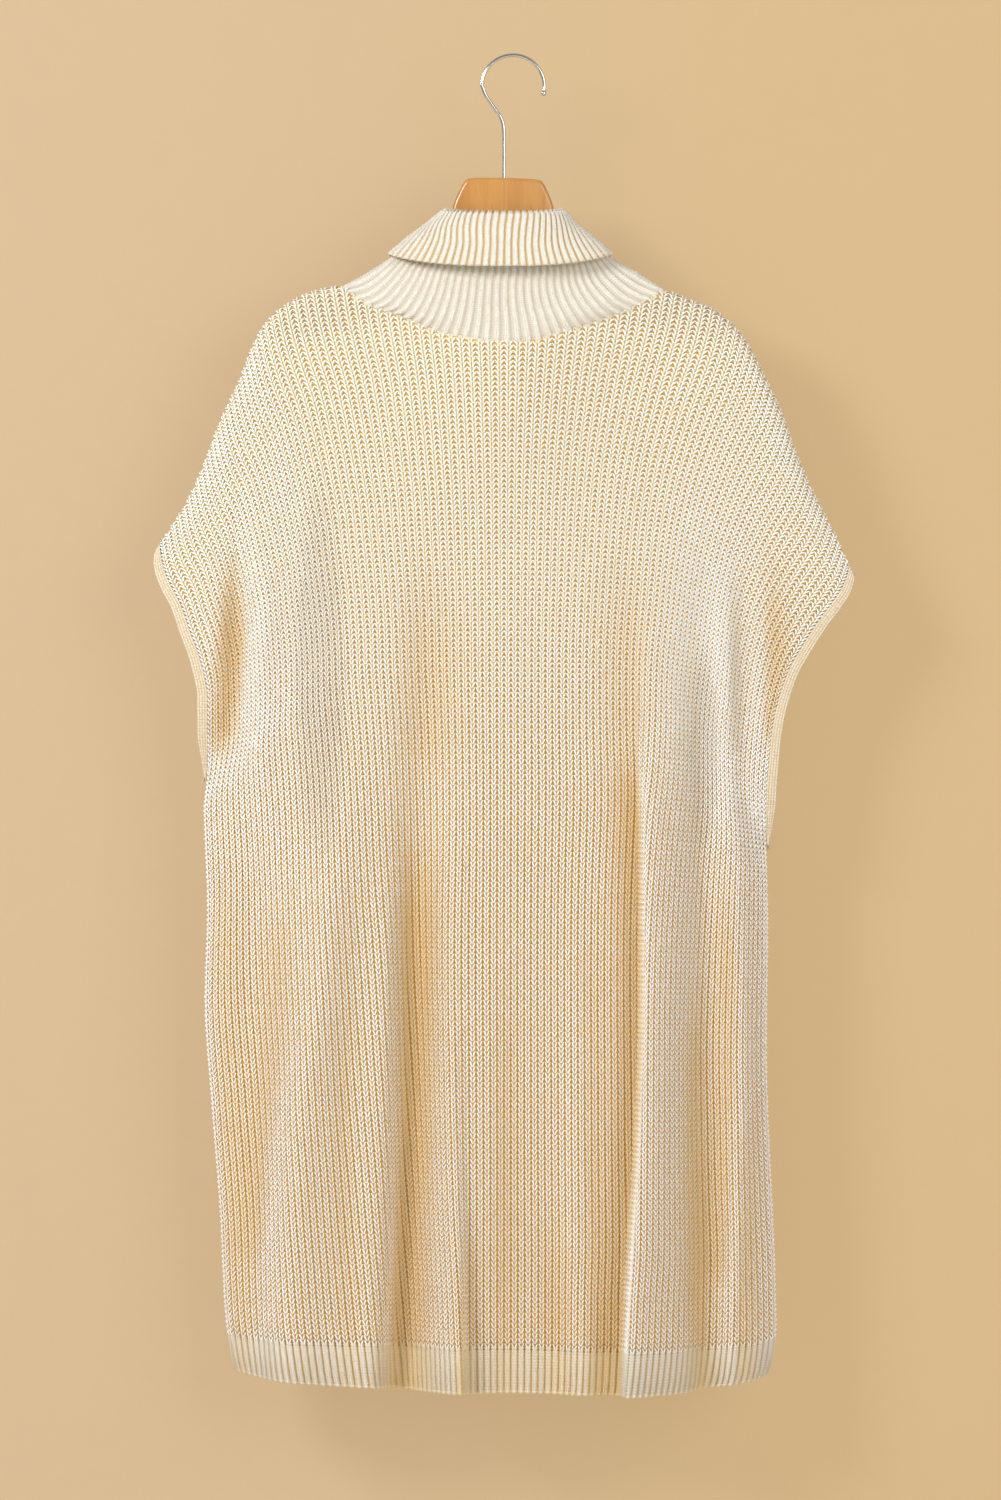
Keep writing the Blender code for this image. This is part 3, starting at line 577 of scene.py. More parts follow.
class Value:
    """A number in a shader, which adds Math nodes where it is calculated with."""

    __add__ = __radd__ = maths("ADD")
    __sub__ = maths("SUBTRACT")
    __rsub__ = maths("SUBTRACT", swapped=True)
    __mul__ = __rmul__ = maths("MULTIPLY")
    __truediv__ = maths("DIVIDE")
    __pow__ = maths("POWER")
    __abs__ = maths("ABSOLUTE")
    fraction = maths("FRACT")
    cosine = maths("COSINE")
    at_least = maths("MAXIMUM")
    at_most = maths("MINIMUM")

    def __init__(self, shader, socket):
        self.shader = shader
        self.socket = socket

    def clamped(self):
        """The number, between 0 and 1."""
        return self.at_least(0.0).at_most(1.0)

    def ramp(self, start, end):
        """0 before start, 1 after end, smooth between."""
        settings = {"interpolation_type": "SMOOTHSTEP"}
        sockets = {"Value": self, "From Min": start, "From Max": end}
        node = self.shader.add("ShaderNodeMapRange", settings, sockets)
        return Value(self.shader, node.outputs["Result"])


class Shader:
    """A material's nodes round its Principled BSDF."""

    def __init__(self, name, **sockets):
        self.material = bpy.data.materials.new(name)
        self.material.use_nodes = True
        self.tree = self.material.node_tree
        self.surface = self.tree.nodes["Principled BSDF"]
        self.finish(**sockets)

    def set(self, node, sockets):
        """Gives sockets their numbers, colours or links."""
        for key, given in sockets.items():
            name = key.replace("_", " ") if isinstance(key, str) else key
            if isinstance(given, (Value, bpy.types.NodeSocket)):
                self.tree.links.new(getattr(given, "socket", given), node.inputs[name])
            elif isinstance(given, tuple) and node.inputs[name].type == "RGBA":
                node.inputs[name].default_value = (*given, 1)
            else:
                node.inputs[name].default_value = given

    def add(self, kind, settings={}, sockets={}):
        """A node of a type, with its settings and then its sockets."""
        node = self.tree.nodes.new(kind)
        for name, given in settings.items():
            setattr(node, name, given)
        self.set(node, sockets)
        return node

    def finish(self, **sockets):
        """Sets sockets of the Principled BSDF."""
        self.set(self.surface, sockets)

    def place(self, name="Object"):
        """Object coordinates, or the piece's UV map."""
        return self.add("ShaderNodeTexCoord").outputs[name]

    def axes(self, vector):
        """The three numbers of a vector."""
        split = self.add("ShaderNodeSeparateXYZ", {}, {"Vector": vector})
        return [Value(self, socket) for socket in split.outputs]

    def attribute(self, name):
        """A number that the mesh carries."""
        node = self.add("ShaderNodeAttribute", {"attribute_name": name})
        return Value(self, node.outputs["Fac"])

    def noise(self, scale, detail=2.0, stretch=(1, 1, 1), roughness=0.5):
        """Soft noise on Object coordinates; a cell of it is about 1 / scale metres."""
        mapping = self.add("ShaderNodeMapping", {}, {"Vector": self.place(), "Scale": stretch})
        sockets = {"Vector": mapping.outputs[0], "Scale": scale, "Detail": detail, "Roughness": roughness}
        return Value(self, self.add("ShaderNodeTexNoise", {}, sockets).outputs["Fac"])

    def mix(self, share, low, high):
        """A colour between two colours."""
        return self.add("ShaderNodeMix", {"data_type": "RGBA"}, {0: share, 6: low, 7: high}).outputs[2]

    def bump(self, height, distance, strength=1.0):
        """Normals from a height in units of the distance."""
        sockets = {"Height": height, "Distance": distance, "Strength": strength}
        self.finish(Normal=self.add("ShaderNodeBump", {}, sockets).outputs[0])

    def shade(self, cloud):
        """How far the folds shade the cloth, made uneven by a noise."""
        return (self.attribute("shade") * (0.75 + cloud * 0.5)).clamped()


# Painted shade: SHADED in the folds; TAN and ORANGE in the holes, slits and gaps, where the shaded inside
# shows; BROWN where the inside shows darker, in thin places and with the hanger's wood over its arms.
# CREAM_WARM, the ground between the legs, is painted a little shaded.
CREAM_WARM = (0.86, 0.76, 0.52)
SHADED = (0.79, 0.57, 0.25)
TAN = (0.66, 0.40, 0.10)
ORANGE = (0.62, 0.32, 0.06)
BROWN = (0.38, 0.28, 0.19)
# RIB_WIDE, RIB_GROUND and RIB_NARROW: painted shade in the ribs' grooves, lighter on the purl bars.
RIB = (0.80, 0.77, 0.69)
RIB_WIDE = (0.60, 0.52, 0.41)
RIB_GROUND = (0.73, 0.68, 0.58)
RIB_NARROW = (0.68, 0.49, 0.26)


def yarn_material(name, dull, light):
    """The yarn of the stitches: cream wool with loose fibres, warmer where folds shade it."""
    shader = Shader(name, Roughness=0.9, Sheen_Weight=0.2, Sheen_Roughness=0.6,
                    Specular_IOR_Level=0.25)
    tone = shader.attribute("tone")
    cloud = shader.noise(14, 3.0)
    fibre = shader.noise(1400, 2.0, (1, 1, 0.35))
    share = (tone * 0.75 + cloud * 0.35 + fibre * 0.25 - 0.18).clamped()
    yarn = shader.mix(share, dull, light)
    shader.finish(Base_Color=shader.mix(shader.shade(cloud) * 0.8, yarn, SHADED))
    shader.bump(fibre, 0.0006, 0.6)
    return shader.material


def sheet_material():
    """The ground of the half-cardigan stitch: holes between the wales and slits in them, painted tan and
    orange as the shaded inside seen through them, and painted shade between the legs, tanner lower down.
    """
    shader = Shader("half-cardigan knit", Roughness=0.95, Sheen_Weight=0.15,
                    Specular_IOR_Level=0.2)
    wale, course, _ = shader.axes(shader.place("UV"))
    across = abs(wale.fraction() - 0.5)
    down = abs(course.fraction() - 0.5)
    height = shader.axes(shader.place())[2]
    low = height.ramp(LOW_Z_RANGE[0] * MM, LOW_Z_RANGE[1] * MM)
    wide, high = 0.27 - low * 0.08, 0.42 + low * 0.10
    hole = (((0.5 - across) / wide) ** 2 + (down / high) ** 2).ramp(1.25, 0.55)
    slit = ((across / 0.08) ** 2 + ((0.5 - down) / 0.36) ** 2).ramp(1.3, 0.4)
    open_part = hole.at_least(slit * 0.6)
    cloud = shader.noise(22, 2.0)
    # deep: painted shade of the inside, and of the hanger's wood, seen through the holes in thin places
    # and over its arms.
    deep = (shader.attribute("deep") * (0.6 + cloud * 0.8)).clamped()
    shade = shader.shade(cloud)
    # Painted shade: the holes and slits take the colour of the shaded inside, and the ground between the
    # legs goes tan lower down.
    inside = shader.mix(deep, shader.mix(shade, TAN, ORANGE), BROWN)
    between = shader.mix(low * 0.75, CREAM_WARM, TAN)
    ground = shader.mix(deep * 0.25, shader.mix(shade, between, SHADED), BROWN)
    shader.finish(Base_Color=shader.mix(open_part, ground, inside))
    shader.bump(1 - open_part, 0.0012)
    return shader.material


def rib_material():
    """The ground of the ribs: wide grooves with fine purl bars, or narrow plain ones, with the grooves
    painted darker and tanner as their shade.
    """
    shader = Shader("ribbed knit", Roughness=0.95, Sheen_Weight=0.2, Specular_IOR_Level=0.2)
    wale, course, _ = shader.axes(shader.place("UV"))
    across = abs(wale.fraction() - 0.5)
    narrow = shader.attribute("narrow")
    bar = ((course * 3 * math.pi).cosine() * 0.5 + 0.5).ramp(0.2, 0.75)
    wide_groove = across.ramp(0.17, 0.30)
    narrow_groove = across.ramp(0.22, 0.36)
    cloud = shader.noise(22, 2.0)
    barred = shader.mix(bar * 0.7 + cloud * 0.3, RIB_WIDE, RIB_GROUND)
    wide = shader.mix(wide_groove, RIB, barred)
    slim = shader.mix(narrow_groove, RIB, RIB_NARROW)
    shade = shader.attribute("shade") * 0.7
    shader.finish(Base_Color=shader.mix(shade, shader.mix(narrow, wide, slim), SHADED))
    shader.bump(bar * 0.6 + (1 - wide_groove) * 0.4, 0.0006, 0.7)
    return shader.material


def wood_material():
    """Clear lacquered beech with a glued joint down the middle."""
    shader = Shader("lacquered beech", Roughness=0.32, Coat_Weight=0.35, Coat_Roughness=0.15)
    rings = shader.noise(34, 4.0, (1, 1, 0.12), 0.6)
    pores = shader.noise(900, 2.0, (1, 1, 0.04))
    x, _, _ = shader.axes(shader.place())
    joint = abs(x - SHAFT_X * MM).ramp(0.0006, 0.0001)
    grain = shader.mix(rings.ramp(0.3, 0.7), (0.45, 0.20, 0.045), (0.60, 0.30, 0.08))
    pored = shader.mix(pores.ramp(0.62, 0.72) * 0.5, grain, (0.30, 0.12, 0.03))
    shader.finish(Base_Color=shader.mix(joint * 0.5, pored, (0.26, 0.10, 0.03)))
    shader.bump(pores * 0.5 - joint, 0.0002, 0.4)
    return shader.material


def steel_material():
    """Chromed wire with faint drawing marks."""
    shader = Shader("chromed wire", Metallic=1.0)
    marks = shader.noise(700, 2.0, (1, 1, 0.1))
    shader.finish(Base_Color=shader.mix(marks, (0.62, 0.61, 0.60), (0.75, 0.74, 0.73)),
                  Roughness=marks * 0.12 + 0.10)
    return shader.material


# ---- meshes ----
def add_object(name, data):
    """A new object in the scene."""
    made = bpy.data.objects.new(name, data)
    bpy.context.scene.collection.objects.link(made)
    return made


def finished_mesh(name, bm):
    """The mesh of a finished bmesh."""
    mesh = bpy.data.meshes.new(name)
    bm.to_mesh(mesh)
    bm.free()
    return mesh


def place_piece(name, mesh, material, node=None):
    """A finished piece that rides on the part and may stand for one of its nodes."""
    mesh.materials.clear()
    mesh.materials.append(material)
    mesh.shade_smooth()
    piece = add_object(name, mesh)
    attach(piece, "root")
    if node:
        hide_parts(node)
    return piece


def cloth_sheet(name, points, uv, values, material, node, wall, offset=-1.0, tube=False,
                flip=False):
    """A piece of cloth: a sheet of points, in rows of columns, with its wall. Its UV map holds
    wales and courses."""
    rows, columns = points.shape[:2]
    bm = bmesh.new()
    bmesh.ops.create_grid(bm, x_segments=columns - 1, y_segments=rows - 1, size=1)
    layer = bm.loops.layers.uv.new("knit")
    labels = [(bm.verts.layers.float.new(label), given) for label, given in values.items()]
    places = world(points)
    for vert in bm.verts:
        column = round((vert.co.x + 1) / 2 * (columns - 1))
        row = round((vert.co.y + 1) / 2 * (rows - 1))
        vert.co = places[row, column]
        for label, given in labels:
            vert[label] = given[row, column]
        for loop in vert.link_loops:
            loop[layer].uv = uv[row, column]
    if tube:
        bmesh.ops.remove_doubles(bm, verts=bm.verts, dist=1e-6)
    if flip:
        bmesh.ops.reverse_faces(bm, faces=bm.faces)
    piece = place_piece(name, finished_mesh(name, bm), material, node)
    made = piece.modifiers.new("wall", "SOLIDIFY")
    made.thickness = wall * MM
    made.offset = offset
    return piece


# Corners of a leg's eight faces: its foot is 0 to 2, its belly 3 to 5, its upper end 6 to 8.
# The under side, which lies on the sheet, stays open.
LEG_FACES = np.array([
    (1, 4, 2), (2, 4, 5), (0, 2, 3), (2, 5, 3), (4, 7, 5), (5, 7, 8), (3, 5, 6), (5, 8, 6),
])
LEG_SLIM = (0.6, 1.0, 0.65)  # widths of foot, belly and upper end, as shares of the belly's


def leg_corners(spots, normal, half_width, height):
    """Corners of many legs: a strand through three spots, with its ridge outwards."""
    along = unit(spots[2] - spots[0])
    side = unit(np.cross(along, normal))
    wide = side * half_width[:, None]
    high = np.cross(side, along) * height[:, None]
    corners = []
    for spot, slim in zip(spots, LEG_SLIM):
        corners += [spot - slim * wide, spot + slim * wide, spot + slim * high]
    return np.stack(corners, axis=1)


def stitch_piece(name, corners, tones, shades, uv, material, slot, bridge=0.0):
    """One mesh of many legs, each shaded more at its upper end."""
    count, each = corners.shape[:2]
    faces = (LEG_FACES[None] + each * np.arange(count)[:, None, None]).reshape(-1, 3)
    mesh = bpy.data.meshes.new(name)
    mesh.vertices.add(each * count)
    mesh.vertices.foreach_set("co", world(corners.reshape(-1, 3)).ravel())
    mesh.loops.add(faces.size)
    mesh.loops.foreach_set("vertex_index", faces.ravel())
    mesh.polygons.add(len(faces))
    mesh.polygons.foreach_set("loop_start", np.arange(0, faces.size, 3))
    mesh.update(calc_edges=True)
    layer = mesh.uv_layers.new(name="knit")
    layer.data.foreach_set("uv", uv.reshape(-1, 2)[faces.ravel()].ravel())
    tones = np.repeat(tones, each)
    shades = np.repeat(shades, each).reshape(count, each)
    shades[:, 6:] += bridge
    for label, values in (("tone", tones), ("shade", shades.ravel())):
        layer = mesh.attributes.new(label, "FLOAT", "POINT")
        layer.data.foreach_set("value", values.astype(np.float32))
    mesh.validate()
    return place_piece(name, mesh, material)


def shade_at(points, cloth):
    """How far the folds shade places of a cloth."""
    if cloth.back is None:
        return np.zeros(points.shape[:-1])
    x, z = points[..., 0], points[..., 2]
    _, small = crease_shape(x, z, cloth.back)
    rise, _ = fold_shape(x, z, cloth.back)
    ahead, behind = (
        fold_shape(x + step, z, cloth.back)[0] + crease_shape(x + step, z, cloth.back)[0]
        for step in (2, -2)
    )
    lee = (behind - ahead) / 4 * (LEE_SHADE if cloth.back else -LEE_SHADE)
    large = np.clip(-rise * FOLD_SHADE, 0, MOST_FOLD_SHADE) + np.clip(lee, 0, MOST_LEE_SHADE)
    return np.clip(CREASE_SHADE * small + large, 0, 1)


def legs_on(cloth, wale, course, shape, wale_step, seed, lift=0.0):
    """Corners, tones, shades and UV of the legs of stitches at wales and courses of a cloth."""
    random = np.random.default_rng(seed)
    count = len(wale)
    corners, tones, shades, maps = [], [], [], []
    low = np.zeros(count)
    if shape is BODY_LEG:
        low = ease(cloth.at(cloth.row(course, wale), wale)[:, 2], *LOW_Z_RANGE)
    for sign in (-1, 1):
        spots = []
        for upper, lower in zip(shape[:3], LOW_LEG[:3] if shape is BODY_LEG else shape[:3]):
            across, down, height = (a + (b - a) * low for a, b in zip(upper, lower))
            column = wale + sign * across * wale_step
            wobble = random.normal(0, UNEVEN_COURSE, count)
            row = cloth.row(course + down + wobble, column)
            height = height + lift + random.normal(0, UNEVEN_HEIGHT, count)
            spots.append(cloth.at(row, column, height))
            if len(spots) == 2:
                normal = unit(cloth.read(cloth.normals, row, column))
                pitch = cloth.read(cloth.pitch, row, column) * wale_step
        thick = random.normal(1, UNEVEN_WIDTH, count)
        fatter = low * (LOW_LEG[3][1] - BODY_LEG[3][1])
        half_width = (shape[3][0] + (shape[3][1] + fatter) * pitch) * thick
        if shape is BODY_LEG:
            half_width *= 1 - THIN_YARN * painted_inside_shade(spots[1], cloth.back)
        corners.append(leg_corners(spots, normal, half_width, LEG_HEIGHT * thick))
        tones.append(random.random(count))
        shades.append(shade_at(spots[1], cloth))
        place = np.stack([wale / wale_step + sign * 0.25, course], axis=1)
        offsets = [(side, down) for down in (0.4, 0, -0.4) for side in (-0.2, 0.2, 0)]
        maps.append(place[:, None] + np.array(offsets)[None])
    return tuple(np.concatenate(part) for part in (corners, tones, shades, maps))


def painted_inside_shade(points, back):
    """How dark the holes of a panel are painted, as the shade of the inside and the hanger's wood seen
    through them: over the hanger's arms and in thin places.
    """
    x, z = points[..., 0], points[..., 2]
    thin = np.zeros_like(x)
    for middle_x, middle_z, half_wide, half_high in THIN_PLACES:
        across = (x * (1 if back else -1) - middle_x) / half_wide
        thin += THIN_DARK * ease(np.hypot(across, (z - middle_z) / half_high), 1.1, 0.5)
    arm, low = (np.interp(np.abs(x), *zip(*line)) for line in (ARM_TOP, ARM_BOTTOM[::-1]))
    on_wood = ease(z, low - 8, low + 4) * ease(z, arm + 12, arm) * ease(np.abs(x), 196, 186)
    return np.clip(thin + WOOD_DARK * on_wood, 0, 1)


def build_panel(name, back, yarn, ground):
    """A panel's sheet with its stitches, in a left and a right piece."""
    panel = Panel(back)
    wales = np.linspace(-1, 1, WALES * 3 // 2 + 1)
    start = panel.first(wales)
    row = start[None, :] + (1 - start[None, :]) * SHEET_ROWS[:, None]
    column = np.broadcast_to(wales, row.shape)
    near = ease(SHEET_ROWS, 0, 0.006)[:, None] * np.ones_like(row)
    points = panel.at(row, column, -SHEET_DEPTH * near - 0.3)
    uv = np.stack([(column + 1) / 2 * WALES, panel.course(row, column)], axis=2)
    # The sheet carries the painted shade of the inside through the holes (deep) and of the folds (shade).
    values = {"deep": painted_inside_shade(points, back), "shade": shade_at(points, panel)}
    sheet = cloth_sheet(name, points, uv, values, ground, name + "_panel", SHEET_WALL,
                        flip=back)
    stitches = []
    for side, sign in (("left", -1), ("right", 1)):
        wale, course = [], []
        for i in range(WALES):
            middle = (2 * i + 1) / WALES - 1
            if middle * sign < 0:
                continue
            top = float(panel.course(panel.first(middle), middle))
            rows = np.arange(math.ceil(top + 0.2), ROWS, 1.0)
            wale.append(np.full(len(rows), middle))
            course.append(rows)
        made = legs_on(panel, np.concatenate(wale), np.concatenate(course),
                       BODY_LEG, 2 / WALES, 11 + sign + 4 * back)
        stitches.append(stitch_piece(f"{name}_stitches_{side}", *made, yarn, "knit", BODY_BRIDGE))
    return panel, sheet, stitches


def ring_half(ring, behind):
    """The back or front half of a collar ring, from left to right, finely."""
    left, right, z_side, z_back, z_front, deep_back, deep_front, _ = ring
    turn = np.linspace(-math.pi if behind else math.pi, 0, 600)
    across = np.cos(turn)
    lower = np.abs(np.sin(turn))
    x = np.where(across < 0, left, right) * np.sign(across) * np.abs(across) ** COLLAR_SQUARENESS
    deep = deep_back if behind else deep_front
    y = (-deep if behind else deep) * lower ** COLLAR_SQUARENESS
    z = z_side + ((z_back if behind else z_front) - z_side) * lower ** 1.5
    return np.stack([x, y, z], axis=1)


def seam_half(panel):
    """The neck seam on a panel, from left to right."""
    wales = NECK_WALE * np.sin(np.linspace(-math.pi / 2, math.pi / 2, 300))
    points = panel.at(panel.first(wales), wales)
    points[[0, -1], 1] = 0
    points[:, 2] -= COLLAR_SEAM_DROP
    return points


def along_half(points, places, crowd):
    """Points of a half ring at shares of its length, crowded towards its two ends."""
    length = lengths_along(points)
    share = 0.5 + 0.5 * np.tanh(crowd * (2 * places - 1)) / math.tanh(crowd)
    return np.stack([np.interp(share * length[-1], length, points[:, k]) for k in range(3)], axis=1)


def collar_cloth(back, front):
    """The collar's tube: rows run from the seam to the free edge, columns are ribs."""
    places = np.linspace(0, 1, COLLAR_RIBS * RIB_STEPS + 1)
    halves = [(seam_half(back), seam_half(front), SEAM_CROWD)]
    halves += [(ring_half(ring, True), ring_half(ring, False), ring[-1]) for ring in COLLAR_RINGS]
    rings = []
    for behind, before, crowd in halves:
        behind, before = (along_half(half, places, crowd) for half in (behind, before))
        rings.append(np.concatenate([behind, before[-2::-1]]))
    rings = np.array(rings)
    fine = np.linspace(0, len(rings) - 1, 181)
    k = np.minimum(fine.astype(int), len(rings) - 2)
    t = (fine - k)[:, None, None]
    before = rings[np.maximum(k - 1, 0)]
    after = rings[np.minimum(k + 2, len(rings) - 1)]
    here, there = rings[k], rings[k + 1]
    points = here + t * 0.5 * (
        there - before + t * (2 * before - 5 * here + 4 * there - after
                              + t * (3 * (here - there) + after - before))
    )
    middle = COLLAR_RIBS * RIB_STEPS // 2
    rows = lengths_along(points[:, middle]) / RIB_ROW
    columns = np.arange(points.shape[1]) / RIB_STEPS
    cloth = Cloth(rows, columns, points, 1)
    cloth.crest = float(np.interp(COLLAR_CREST, fine, rows))
    cloth.normals[:, -1] = cloth.normals[:, 0] = unit(cloth.normals[:, 0] + cloth.normals[:, -1])
    return cloth


def build_collar(back, front, yarn, ground):
    """The collar: a corrugated tube with stitches on the ribs of its two faces."""
    cloth = collar_cloth(back, front)
    rows = np.linspace(0, cloth.rows[-1], COLLAR_ROWS)
    row, column = np.meshgrid(rows, cloth.columns, indexing="ij")
    ribs = np.cos(2 * math.pi * column) * RIB_RISE
    points = cloth.at(row, column, ribs - WALL / 2)
    shown = row > cloth.crest
    uv = np.stack([column + np.where(shown, 0.0, 0.5), row], axis=2)
    piece = cloth_sheet("collar", points, uv, {"narrow": shown * 1.0}, ground, "collar",
                        COLLAR_WALL, 0.0, tube=True)
    last = cloth.rows[-1]
    made = []
    # Columns: outer or inner face, first and last course, place of the first rib, leg, ribs
    # between two legs, height over the wall's middle.
    ways = (
        (1, 0.9, cloth.crest - 2, 0.0, STAND_LEG, 1.0, 1.5),
        (-1, cloth.crest - 6, last - 0.4, 0.5, FLAP_LEG, 1.0, 1.35),
        (1, 0.35, 0.4, 0.0, SEAM_LEG, 0.5, 0.9),
    )
    for face, first, end, offset, shape, step, lift in ways:
        wales = np.arange(0, 2 * COLLAR_RIBS, step) + offset
        course, wale = crossings(np.arange(first, end, 1.0), wales)
        side = Cloth(cloth.rows, cloth.columns, cloth.points, 1)
        side.points = cloth.points - cloth.normals * WALL / 2
        side.normals = cloth.normals * face
        bend = np.exp(-(((course - cloth.crest) / 2.2) ** 2))
        height = lift - 0.9 * bend
        made.append(legs_on(side, wale, course, shape, 1.0, 31 + face, height))
    joined = (np.concatenate(part) for part in zip(*made))
    stitches = stitch_piece("collar_stitches", *joined, yarn, "rib")
    return piece, stitches


def build_hem(name, back, yarn, ground):
    """A hem's rib: one rib for each wale, with a rolled bead at its lower edge."""
    columns = np.linspace(-1, 1, WALES * 4 + 1)
    span = NECK_TOP_Z - HEM_TOP_Z
    plain = np.linspace(2.6, HEM_RIB - 2.6, 9)
    depths = np.concatenate([[-HEM_LAP, -2, 0], plain, [HEM_RIB - HEM_BEAD, HEM_RIB]])
    points = np.array([panel_row(1 + depth / span, columns, back) for depth in depths])
    cloth = Cloth(depths / RIB_ROW, columns, points, -1 if back else 1)
    row, column = np.meshgrid(depths, columns, indexing="ij")
    wave = -np.cos(math.pi * WALES * (column + 1)) * RIB_RISE
    bead = ease(row, HEM_RIB - 3, HEM_RIB - HEM_BEAD)
    lap = ease(row, 1, -HEM_LAP)
    lift = wave * (1 - 0.7 * bead) - 1.1 + 0.8 * bead - 0.9 * lap
    points = cloth.at(row / RIB_ROW, column, lift)
    uv = np.stack([(column + 1) / 2 * WALES, row / RIB_ROW], axis=2)
    cloth.back = back
    values = {"narrow": np.ones(row.shape), "shade": shade_at(points, cloth)}
    piece = cloth_sheet(name, points, uv, values, ground, name, HEM_WALL, flip=back)
    middles = (2 * np.arange(WALES) + 1) / WALES - 1
    course, wale = crossings(np.arange(-0.7, HEM_RIB / RIB_ROW - 0.3, 1.0), middles)
    made = legs_on(cloth, wale, course, LOW_LEG, 2 / WALES, 51 + back, -0.2)
    # Painted shade: the hem's yarn darkens from its upper end towards its edge.
    made[1][:] = HEM_TONE * (1 - np.tile(course, 2) * RIB_ROW / HEM_RIB)
    stitches = stitch_piece(name + "_stitches", *made, yarn, "rib")
    return piece, stitches


def band_cloth(side):
    """An armhole's band: rows run from the panels' edge to the free edge."""
    lengths = np.concatenate([np.linspace(0, 0.03, 8)[:-1], np.linspace(0.03, side.underarm_length, 60)])
    z = side.height(1.0, lengths)
    x = side.edge_x(z)
    run = np.gradient(x)
    fall = -np.gradient(z)
    out_x = fall / np.hypot(run, fall)
    out_z = run / np.hypot(run, fall)
    at_tip = np.exp((z - side.tip_z) / BAND_TURN)
    out_x = out_x * (1 - at_tip) + at_tip * TIP_SLOPE[0]
    out_z = out_z * (1 - at_tip) + at_tip * TIP_SLOPE[1]
    low = ease(z, side.underarm + LOW_BAND, side.underarm)
    out_x = (out_x * (1 - low) + low) * (1 - LOW_BAND_NARROWER * low)
    out_z = out_z * (1 - low)
    wide = side.armhole(z)
    rings = []
    for outward in np.linspace(-0.5, BAND_WIDTH, 9):
        half = np.stack([side.sign * (x + out_x * outward), -wide, z + out_z * outward], axis=1)
        half = np.concatenate([half[:1], half, half[-1:]])
        half[[0, -1], 1] = 0
        front = half[-2::-1] * (1, -1, 1)
        rings.append(np.concatenate([half, front]))
    return np.array(rings)


def build_band(name, side, yarn, ground):
    """The narrow band of an armhole, a little rounded across, with wales along it."""
    points = band_cloth(side)
    rows = len(points)
    wales = np.linspace(0, BAND_WALES, rows)
    strip = Cloth(lengths_along(points[-1]) / RIB_ROW, wales, points.transpose(1, 0, 2), -side.sign)
    bulge = 0.5 * np.sin(np.linspace(0, math.pi, rows)) - 0.4
    strip.points = strip.points + strip.normals * bulge[None, :, None]
    strip.points[-1] = strip.points[0]
    wale, course = np.meshgrid(wales, strip.rows)
    uv = np.stack([wale, course], axis=2)
    piece = cloth_sheet(name, strip.points, uv, {"narrow": np.ones(wale.shape)}, ground,
                        name, BAND_WALL, tube=True, flip=side.sign > 0)
    middles = np.arange(BAND_WALES) + 0.5
    course, wale = crossings(np.arange(0.5, strip.rows[-1] - 0.5, 1.0), middles)
    made = legs_on(strip, wale, course, FLAP_LEG, 1.0, 71 + side.sign, 0.0)
    made[2][:] = BAND_SHADE
    stitches = stitch_piece(name + "_stitches", *made, yarn, "rib")
    return piece, stitches


def build_wood(material):
    """The hanger's board, with its edges rounded."""
    half = np.concatenate([smooth_route(ARM_TOP), np.array(ARM_BOTTOM, float)])
    outline = np.concatenate([half, half[1:-1][::-1] * (-1, 1)])
    bm = bmesh.new()
    corners = []
    for x, z in outline:
        z = z - WOOD_TOP_Z
        across = x * math.cos(HANGER_TILT) + z * math.sin(HANGER_TILT)
        up = z * math.cos(HANGER_TILT) - x * math.sin(HANGER_TILT) + WOOD_TOP_Z
        corners.append(bm.verts.new(world((across, -WOOD_THICK / 2, up))))
    face = bm.faces.new(corners)
    made = bmesh.ops.extrude_face_region(bm, geom=[face])
    moved = [item for item in made["geom"] if isinstance(item, bmesh.types.BMVert)]
    bmesh.ops.translate(bm, verts=moved, vec=(0, WOOD_THICK * MM, 0))
    bmesh.ops.recalc_face_normals(bm, faces=bm.faces)
    rims = [edge for edge in bm.edges if abs(edge.verts[0].co.y - edge.verts[1].co.y) < 1e-6]
    bmesh.ops.bevel(bm, geom=rims, offset=WOOD_ROUND * MM, affect="EDGES", segments=4,
                    profile=0.5, material=-1, clamp_overlap=True)
    mesh = finished_mesh("hanger_board", bm)
    mesh.set_sharp_from_angle(angle=math.radians(35))
    return place_piece("hanger_board", mesh, material, "hanger_wood")


